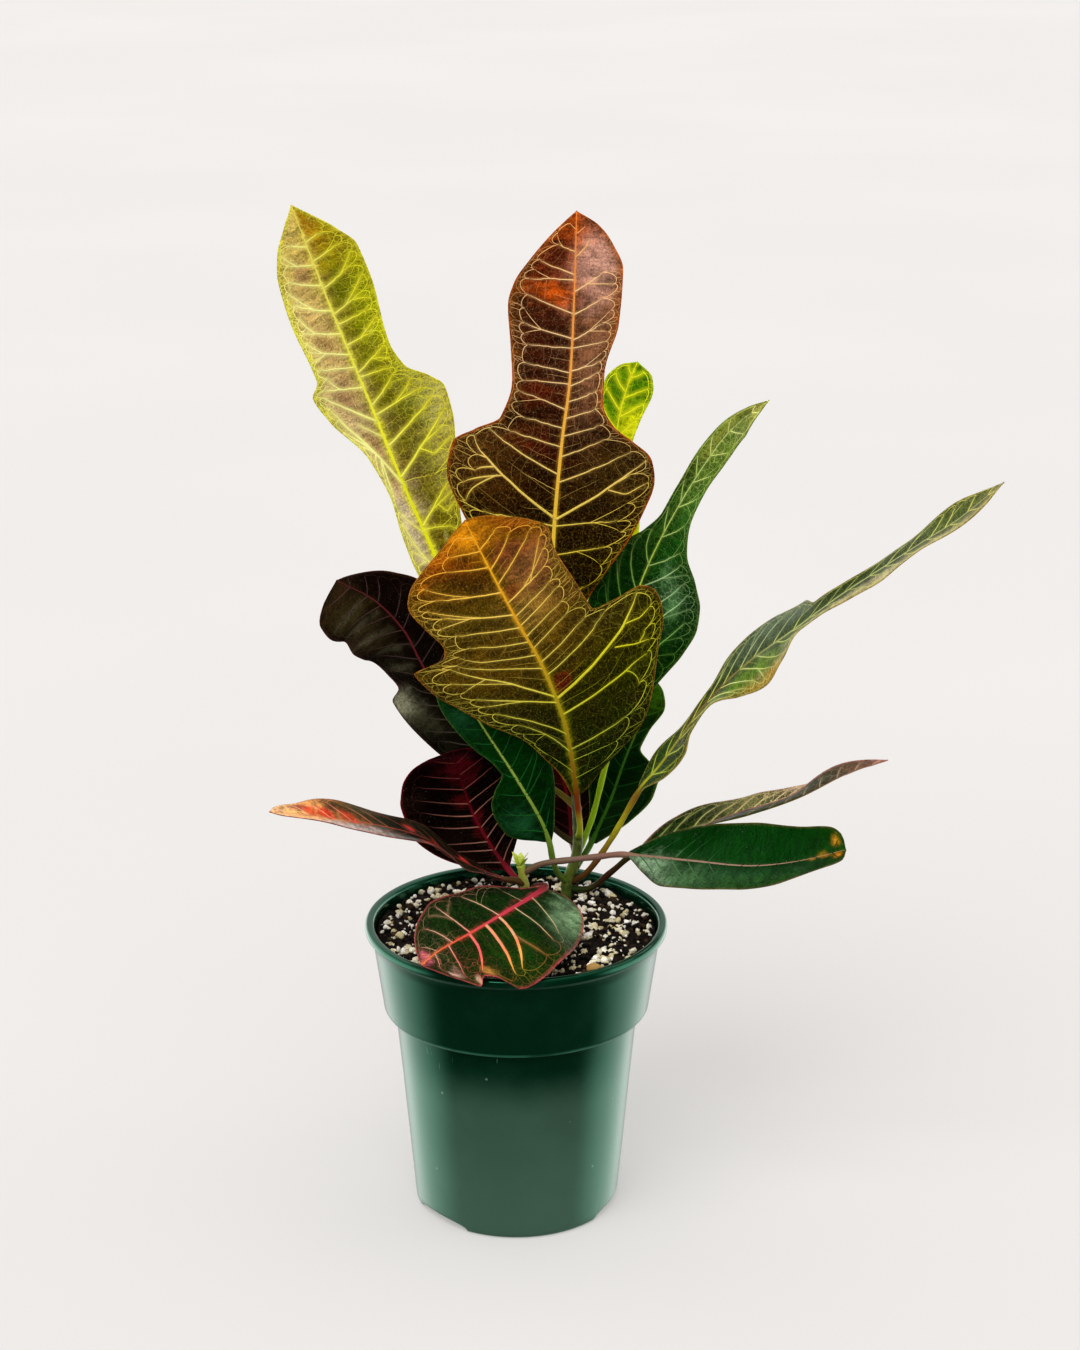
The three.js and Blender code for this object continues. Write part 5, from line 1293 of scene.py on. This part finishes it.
# Loose bits on the soil: perlite grains, with one larger pebble, and crumbs of the mix.
SCATTER_RADIUS = 74.4
SCATTER_LIMIT = 75.6
STEM_GAP = 2
GRAINS = 980
CRUMBS = 1500
GRAIN_COLOURS = "#fbf5e2 #f1e8cc #fffaf0 #e4d8b4 #faf3e2 #cdbf96"
CRUMB_COLOURS = "#120b07 #1a110b #24170e #0e0906 #302114 #47331f"
PEBBLE = (41.5, -55.5)
PEBBLE_SIZE = (4.4, 3.2, 2.8)
PEBBLE_LIFT = 1.2


def pot_material():
    n = new_nodes("pot_plastic_green")
    place = n.place()
    x, y, z = n.separate(place)
    radius = n.math("SQRT", n.plus(n.times(x, x), n.times(y, y)))
    drawn = n.noise(n.stretch(place, (60, 60, 5)), 1, 3)
    cloud = n.noise(place, 22, 4, 0.6)
    chance = n.step(n.noise(place, 40, 1), 0.6, 0.66)
    spots = n.times(n.step(n.voronoi(place, 95), 0.045, 0.1, 0.5, 0), chance)
    scratch = n.step(n.noise(n.stretch(place, (420, 420, 60)), 1, 1), 0.74, 0.8)
    scratch = n.times(scratch, n.step(n.noise(place, 18, 1), 0.54, 0.66))

    # The wall is painted lighter towards the bottom, which is painted light, under a faint dusty
    # cloud; just under the collar it stays dark, which is painted shade. The collar's foot has a
    # pale line, a painted highlight, and the lip shows wear.
    # low paints light: it lightens the wall towards the bottom and leaves it dark below the collar,
    # as painted shade.
    low = n.times(n.step(z, 0, 0.09, 1, 0.72), n.step(z, 0.074, 0.106, 0.43, 0))
    dust_and_painted_light = n.plus(n.step(cloud, 0.42, 0.7, 0, 0.04), low)
    # collar marks the pale line at the collar's foot, a painted highlight of that edge; the lip's
    # pale band is wear.
    collar = n.times(n.step(z, 0.1158, 0.1166), n.step(z, 0.1176, 0.1188, 1, 0))
    collar = n.times(collar, n.step(radius, 0.0722, 0.0727))
    wear_and_painted_highlight = n.times(collar, n.step(n.noise(place, 50, 3), 0.3, 0.6, 0.2, 0.65))
    lip = n.times(n.step(radius, 0.0816, 0.0823), n.step(z, 0.1605, 0.162))
    wear_and_painted_highlight = n.math("MAXIMUM", wear_and_painted_highlight, n.times(lip, n.step(cloud, 0.4, 0.65, 0, 0.2)))

    color = n.mix(n.step(cloud, 0.3, 0.7), "#012816", "#022c1a")
    # The pale grey-green here is the painted light of the lower wall, over a faint dusty cloud.
    color = n.mix(dust_and_painted_light, color, "#708c7c")
    color = n.mix(wear_and_painted_highlight, color, "#3c705a")
    color = n.mix(spots, color, "#8aa296")
    color = n.mix(n.times(scratch, 0.3), color, "#6f8f80")
    rough = n.plus(n.step(drawn, 0.3, 0.7, 0.12, 0.17), n.times(dust_and_painted_light, 0.15))
    bump = (n.plus(drawn, n.times(scratch, -0.6)), 0.00005, 0.5)
    return n.finish(color, rough, bump, Specular_Tint=(0.25, 1, 0.65, 1), Specular_IOR_Level=1)


def circle(radius, height, angle):
    """Points at these angles round the pot's axis."""
    x, y = radius * np.cos(angle), radius * np.sin(angle)
    return np.stack([x, y, np.broadcast_to(height, x.shape)], 1)


def between(angle, other):
    """The turn from one angle to another, at most half a turn either way."""
    return (angle - other + np.pi) % TURN - np.pi


def make_pot():
    angle = np.linspace(0, TURN, POT_SIDES, endpoint=False)
    arch = np.zeros(POT_SIDES)
    for k in range(3):
        away = np.abs(between(angle, math.radians(FIRST_ARCH + 120 * k)))
        along_foot = away * FOOT_RADIUS / ARCH_HALF
        arch = np.maximum(arch, ARCH_HEIGHT * np.sqrt(np.clip(1 - along_foot**2, 0, 1)))
    rings = []
    for index, (radius, height) in enumerate(POT_PROFILE):
        if height < ARCH_SQUEEZE and radius > ARCH_INNER_RADIUS and index < OUTER_RINGS:
            height = arch + height * (ARCH_SQUEEZE - arch) / ARCH_SQUEEZE
        rings.append(circle(max(radius, LEAST_RADIUS), height, angle))
    shape = Shape()
    shape.add(np.concatenate(rings), rings_to_faces(len(rings), POT_SIDES))
    shape.build("pot_moulded", pot_material(), "pot_plastic", "pot")


def soil_height(x, y):
    broad = np.sin(x * 0.085 + 1.3) * np.cos(y * 0.075 - 0.6)
    fine = np.sin(x * 0.31 + y * 0.13) * np.sin(y * 0.29 - x * 0.11 + 1.7)
    small = 0.75 * lattice_noise(x, y, 4.2, 1) + 0.5 * lattice_noise(x, y, 1.9, 2)
    return SOIL_Z + SOIL_RELIEF * (0.55 * broad + 0.45 * fine) + small


def soil_material():
    n = new_nodes("potting_mix")
    place = n.place()
    cloud = n.noise(place, 260, 5, 0.7)
    layers = [
        (cloud, 0.35, 0.68, 0, 1, "#241710"),
        (n.noise(place, 60), 0.5, 0.75, 0, 0.5, "#120c08"),
        (n.noise(place, 900, 1), 0.68, 0.74, 0, 0.5, "#6a5238"),
    ]
    return n.grainy("#0a0604", layers, (cloud, 0.0011, 0.8), (0.82, 0.96), 0.25)


def crumb_material():
    n = new_nodes("mix_crumbs")
    cloud = n.noise(n.place(), 700, 3, 0.6)
    layers = [(cloud, 0.35, 0.7, 0, 0.55, "#0d0906")]
    return n.grainy(n.attribute("Tint"), layers, (cloud, 0.0004, 0.7), (0.78, 0.95), 0.25)


def perlite_material():
    n = new_nodes("perlite_white")
    place = n.place()
    pores, cloud = n.voronoi(place, 1500), n.noise(place, 420, 3, 0.6)
    layers = [
        (cloud, 0.45, 0.75, 0, 0.5, "#a8997c"),
        (pores, 0, 0.35, 0.45, 0, "#8c8068"),
    ]
    bump = (n.plus(pores, cloud), 0.0004, 0.6)
    return n.grainy(n.attribute("Tint"), layers, bump, (0.7, 0.9), 0.3)


def icosphere(subdivisions):
    """The points and faces of a ball with radius 1."""
    form = bmesh.new()
    bmesh.ops.create_icosphere(form, subdivisions=subdivisions, radius=1)
    form.verts.ensure_lookup_table()
    points = np.array([vertex.co for vertex in form.verts])
    faces = np.array([[vertex.index for vertex in face.verts] for face in form.faces])
    form.free()
    return points, faces


def scatter(random, count, form, size, sink, stretch, colours, rough):
    """A shape of this many bits on the soil, each turned and misshapen at random."""
    body, (points, faces) = Shape(), form
    colours = [linear(code) for code in colours.split()]
    stems = [(rows(stem["points"])[1][:2], stem["foot"]) for stem in STEMS.values()]
    placed = 0
    while placed < count:
        radius = SCATTER_RADIUS * math.sqrt(random.uniform())
        turn = random.uniform(0, TURN)
        x, y = radius * math.cos(turn), radius * math.sin(turn)
        if any(math.dist((x, y), middle) < foot + STEM_GAP for middle, foot in stems):
            continue
        scale = size[0] + (size[1] - size[0]) * random.uniform() ** 1.6
        scale = scale * np.array([1, random.uniform(*stretch), random.uniform(0.7, 0.95)])
        if radius + scale.max() > SCATTER_LIMIT:
            continue
        waves = points[:, [1, 2, 0]] * random.uniform(2, 5, 3) + random.uniform(0, 6, 3)
        bit = points + rough * np.sin(waves)
        bit = bit * (1 + random.normal(0, 0.05, (len(points), 1))) * scale
        spin, tilt = random.uniform(0, TURN), random.normal(0, 0.5)
        bit = bit @ np.array(Euler((tilt, 0, spin)).to_matrix()).T
        height = soil_height(x, y) + sink * scale[2]
        colour = colours[random.integers(len(colours))] * random.uniform(0.75, 1.1)
        shade = 0.45 + 0.55 * smoothstep(-1.1, 0.5, bit[:, 2] / scale[2])
        body.add(bit + (x, y, height), [faces], Tint=colour * shade[:, None])
        placed += 1
    return body


def make_soil():
    """The potting mix: a plug with a crumbly top, loose crumbs and grains of perlite."""
    angle = np.linspace(0, TURN, SOIL_SIDES, endpoint=False)
    rings = [circle(radius, height, angle) for radius, height in SOIL_BELOW]
    for i in range(SOIL_RINGS):
        ring = circle(SOIL_TOP_RADIUS * (1 - i / SOIL_RINGS), 0, angle)
        ring[:, 2] = soil_height(ring[:, 0], ring[:, 1])
        rings.append(ring)
    shape = Shape()
    shape.add(np.concatenate(rings), rings_to_faces(len(rings), SOIL_SIDES))
    shape.build("soil_bed", soil_material(), "soil", "soil")

    random = np.random.default_rng(21)
    ball = icosphere(2)
    perlite = scatter(random, GRAINS, ball, (0.7, 2.3), 0.35, (0.7, 1.3), GRAIN_COLOURS, 0.24)
    points, faces = ball
    pebble = points * (1 + random.normal(0, 0.04, (len(points), 1))) * PEBBLE_SIZE
    height = soil_height(*PEBBLE) + PEBBLE_LIFT
    perlite.add(pebble + (*PEBBLE, height), [faces], Tint=linear("#b08a4c"))
    perlite.build("perlite_grains", perlite_material(), "perlite")
    lump = icosphere(1)
    crumbs = scatter(random, CRUMBS, lump, (0.7, 2), 0.3, (0.6, 1.9), CRUMB_COLOURS, 0.22)
    crumbs.build("mix_crumbs", crumb_material(), "soil")


# Stems. points run from the root up, with the second one at the soil. foot and top are the
# radii at the ends. scars seeds where the rings of old leaves are, and bark is the second
# colour. Sprout leaves are length, lean aside and back in degrees, and width.
STEM_SIDES = 24
STEM_STEP = 0.8
SCAR_START = 38
SCAR_GAP = 9.5
SCAR_END = 3
SCAR_RIDGE = 0.22
SCAR_BUD = 0.45
RIBBING = 0.1
STEMS = {
    "main": dict(
        points="28 46 128, 28 46 160, 29 46 170, 33 45 183, 34 44 197, 33 46 218, 31 48 243",
        foot=3.6, top=2.2, scars=5, slot="stem_green", bark="#2a3a1a",
        colours="#4c5c22 #66762a #5a642c #3c5220 #4a6620 #849628", sprout="",
    ),
    "side": dict(
        points="6 26 128, 6 26 160, 5 26 171, 3 27 183, 2 27 186",
        foot=3, top=2.4, scars=6, slot="stem_tan", bark="#5c4a2c",
        colours="#5a5030 #6a5f38 #857848 #8c8a3c #9aa83a",
        sprout="10 -26 14 5.2, 11 24 -6 5.6, 9 2 26 4.6, 6 44 20 3.6, 6 -50 -12 3.4",
    ),
}
SPROUT_COLOURS = "#8c9a34 #a9b838 #c0cc4c #cfd860"
SPROUT_STEPS = 18
SPROUT_SIDES = 12


def stem_material(name, bark):
    n = new_nodes(name)
    place = n.place()
    cloud = n.noise(place, 160, 4, 0.6)
    streak = n.noise(n.stretch(place, (900, 900, 130)), 1, 3)
    layers = [
        (cloud, 0.45, 0.7, 0, 0.6, bark),
        (streak, 0.55, 0.75, 0, 0.4, "#7c7450"),
    ]
    bump = (n.plus(streak, cloud), 0.0003, 0.6)
    return n.grainy(n.attribute("Tint"), layers, bump, (0.45, 0.6), 0.4)


def add_stem(shape, stem, points):
    """A round tube along a smooth line, with low rings where leaves have fallen off."""
    spine = Spine(points)
    random = np.random.default_rng(stem["scars"])
    scars = [
        (at + random.uniform(-2, 2), random.uniform(0, TURN))
        for at in np.arange(SCAR_START, spine.total - SCAR_END, SCAR_GAP)
    ]
    steps = int(spine.total / STEM_STEP)
    distance = np.linspace(0, spine.total, steps)
    centre, tangent = spine.frame(distance)
    across = unit(np.cross([1, 0, 0], tangent))
    other = np.cross(tangent, across)

    def line_at(angle):
        radius = stem["foot"] + (stem["top"] - stem["foot"]) * distance / spine.total
        for at, turn in scars:
            bud = ((distance - at + 1.2) / 1.6) ** 2 + (between(angle, turn) / 0.7) ** 2
            ridge = SCAR_RIDGE * np.exp(-(((distance - at) / 0.9) ** 2))
            radius = radius + ridge + SCAR_BUD * np.exp(-bud)
        radius = (radius + RIBBING * np.sin(3 * angle + distance / 7))[:, None]
        return centre + radius * (across * math.cos(angle) + other * math.sin(angle))

    colour = ramp(stem["colours"], (distance / spine.total - 0.25) / 0.75)
    shape.add(around(STEM_SIDES, line_at), rings_to_faces(steps, STEM_SIDES),
              Tint=np.repeat(colour, STEM_SIDES, axis=0))


def add_sprout_leaf(shape, top, length, aside, back, width):
    """One young leaf of the sprout: narrow, pointed and bent outwards."""
    t = np.linspace(0, 1, SPROUT_STEPS)
    lean = np.sin(np.radians([aside, back]))
    out = lean / np.linalg.norm(lean)
    x, y = (top[k] + lean[k] * length * t**1.4 for k in (0, 1))
    z = top[2] - 2 + length * t * (1 - 0.12 * t)
    bulge = np.sin(np.pi * np.minimum(0.08 + 0.92 * t, 1))
    half = np.maximum(width / 2 * bulge**0.8, 0.15)

    def line_at(angle):
        across = half * math.cos(angle)
        thick = 0.32 * math.sin(angle) + 0.35 * np.abs(across) / width
        dx, dy = -out[1] * across - out[0] * thick, out[0] * across - out[1] * thick
        return np.stack([x + dx, y + dy, z], 1)

    colour = np.repeat(ramp(SPROUT_COLOURS, t), SPROUT_SIDES, axis=0)
    faces = rings_to_faces(SPROUT_STEPS, SPROUT_SIDES)
    shape.add(around(SPROUT_SIDES, line_at), faces, Tint=colour)


def make_stems():
    for name, stem in STEMS.items():
        shape, points = Shape(), rows(stem["points"])
        add_stem(shape, stem, points)
        for leaf in rows(stem["sprout"]):
            add_sprout_leaf(shape, points[-1], *leaf)
        bark = stem_material(f"{name}_bark", stem["bark"])
        shape.build(f"{name}_stem", bark, stem["slot"], f"stem_{name}")


# Floor, light and camera

FLOOR_HALF = 40
FLOOR_GLOW = 0.46
WINDOW_LIGHT = 1.55


def make_floor():
    """A pale floor that gives off a little light, as bright as the photo's background."""
    mesh = bpy.data.meshes.new("floor")
    half = FLOOR_HALF
    corners = [(-half, -half, 0), (half, -half, 0), (half, half, 0), (-half, half, 0)]
    mesh.from_pydata(corners, [], [(0, 1, 2, 3)])
    n = new_nodes("floor_paint")
    color = n.mix(n.step(n.noise(n.place(), 1.2), 0.35, 0.7), "#a6a3a1", "#a9a6a4")
    mesh.materials.append(n.finish(
        color, 0.9, Specular_IOR_Level=0.1, Emission_Color=(0.66, 0.65, 0.64, 1),
        Emission_Strength=FLOOR_GLOW))
    floor = place_object("floor", mesh)
    floor.visible_glossy = False


def sun_light(name, turn, height, strength, soft):
    """An even soft light from turn degrees aside of the front and height degrees up."""
    light = bpy.data.lights.new(name, "SUN")
    light.energy, light.angle = strength, math.radians(soft)
    turn, height = math.radians(turn), math.radians(height)
    level = math.cos(height)
    towards = Vector((-math.sin(turn) * level, math.cos(turn) * level, -math.sin(height)))
    lamp = place_object(name, light)
    lamp.rotation_euler = towards.to_track_quat("-Z", "Y").to_euler()
    return lamp


def make_world():
    """A studio that is dark in front and pale behind, with a bright window on each side."""
    world = bpy.data.worlds.new("studio")
    n = Nodes(world)
    x, y, z = n.separate(n.node("TexCoord", "Generated"))
    side = n.step(n.plus(n.math("ABSOLUTE", x), n.times(y, 0.45)), 0.6, 0.9)
    band = n.times(n.step(z, -0.75, -0.35), n.step(z, 0.1, 0.6, 1, 0))
    windows = n.times(n.times(side, band), WINDOW_LIGHT)
    behind = n.plus(n.step(y, -0.35, 0.7, 0.05, 0.62), n.step(z, 0.3, 0.9, 0, 0.25))
    shade = n.tree.nodes["Background"].inputs
    shade["Color"].default_value = (1, 0.995, 0.985, 1)
    n.link(n.plus(behind, windows), shade["Strength"])
    bpy.context.scene.world = world


def make_camera():
    data = bpy.data.cameras.new("camera")
    data.sensor_width = SENSOR
    data.lens = FOCAL_PIXELS / IMAGE_HEIGHT * SENSOR
    camera = place_object("camera", data)
    pitch = math.radians(CAMERA_PITCH)
    back = Vector((0, -math.cos(pitch), math.sin(pitch))) * CAMERA_DISTANCE
    camera.location = (Vector(CAMERA_TARGET) + back) * MM
    camera.rotation_euler = (math.pi / 2 - pitch, 0, 0)
    bpy.context.scene.camera = camera


make_leaves()
make_pot()
make_soil()
make_stems()
make_floor()
sun_light("key", -28, 50, 1.8, 50)
sun_light("fill", 50, 38, 0.8, 80).visible_glossy = False
make_world()
bpy.context.scene.view_settings.view_transform = "Standard"
bpy.context.scene.view_settings.look = "Medium High Contrast"
make_camera()
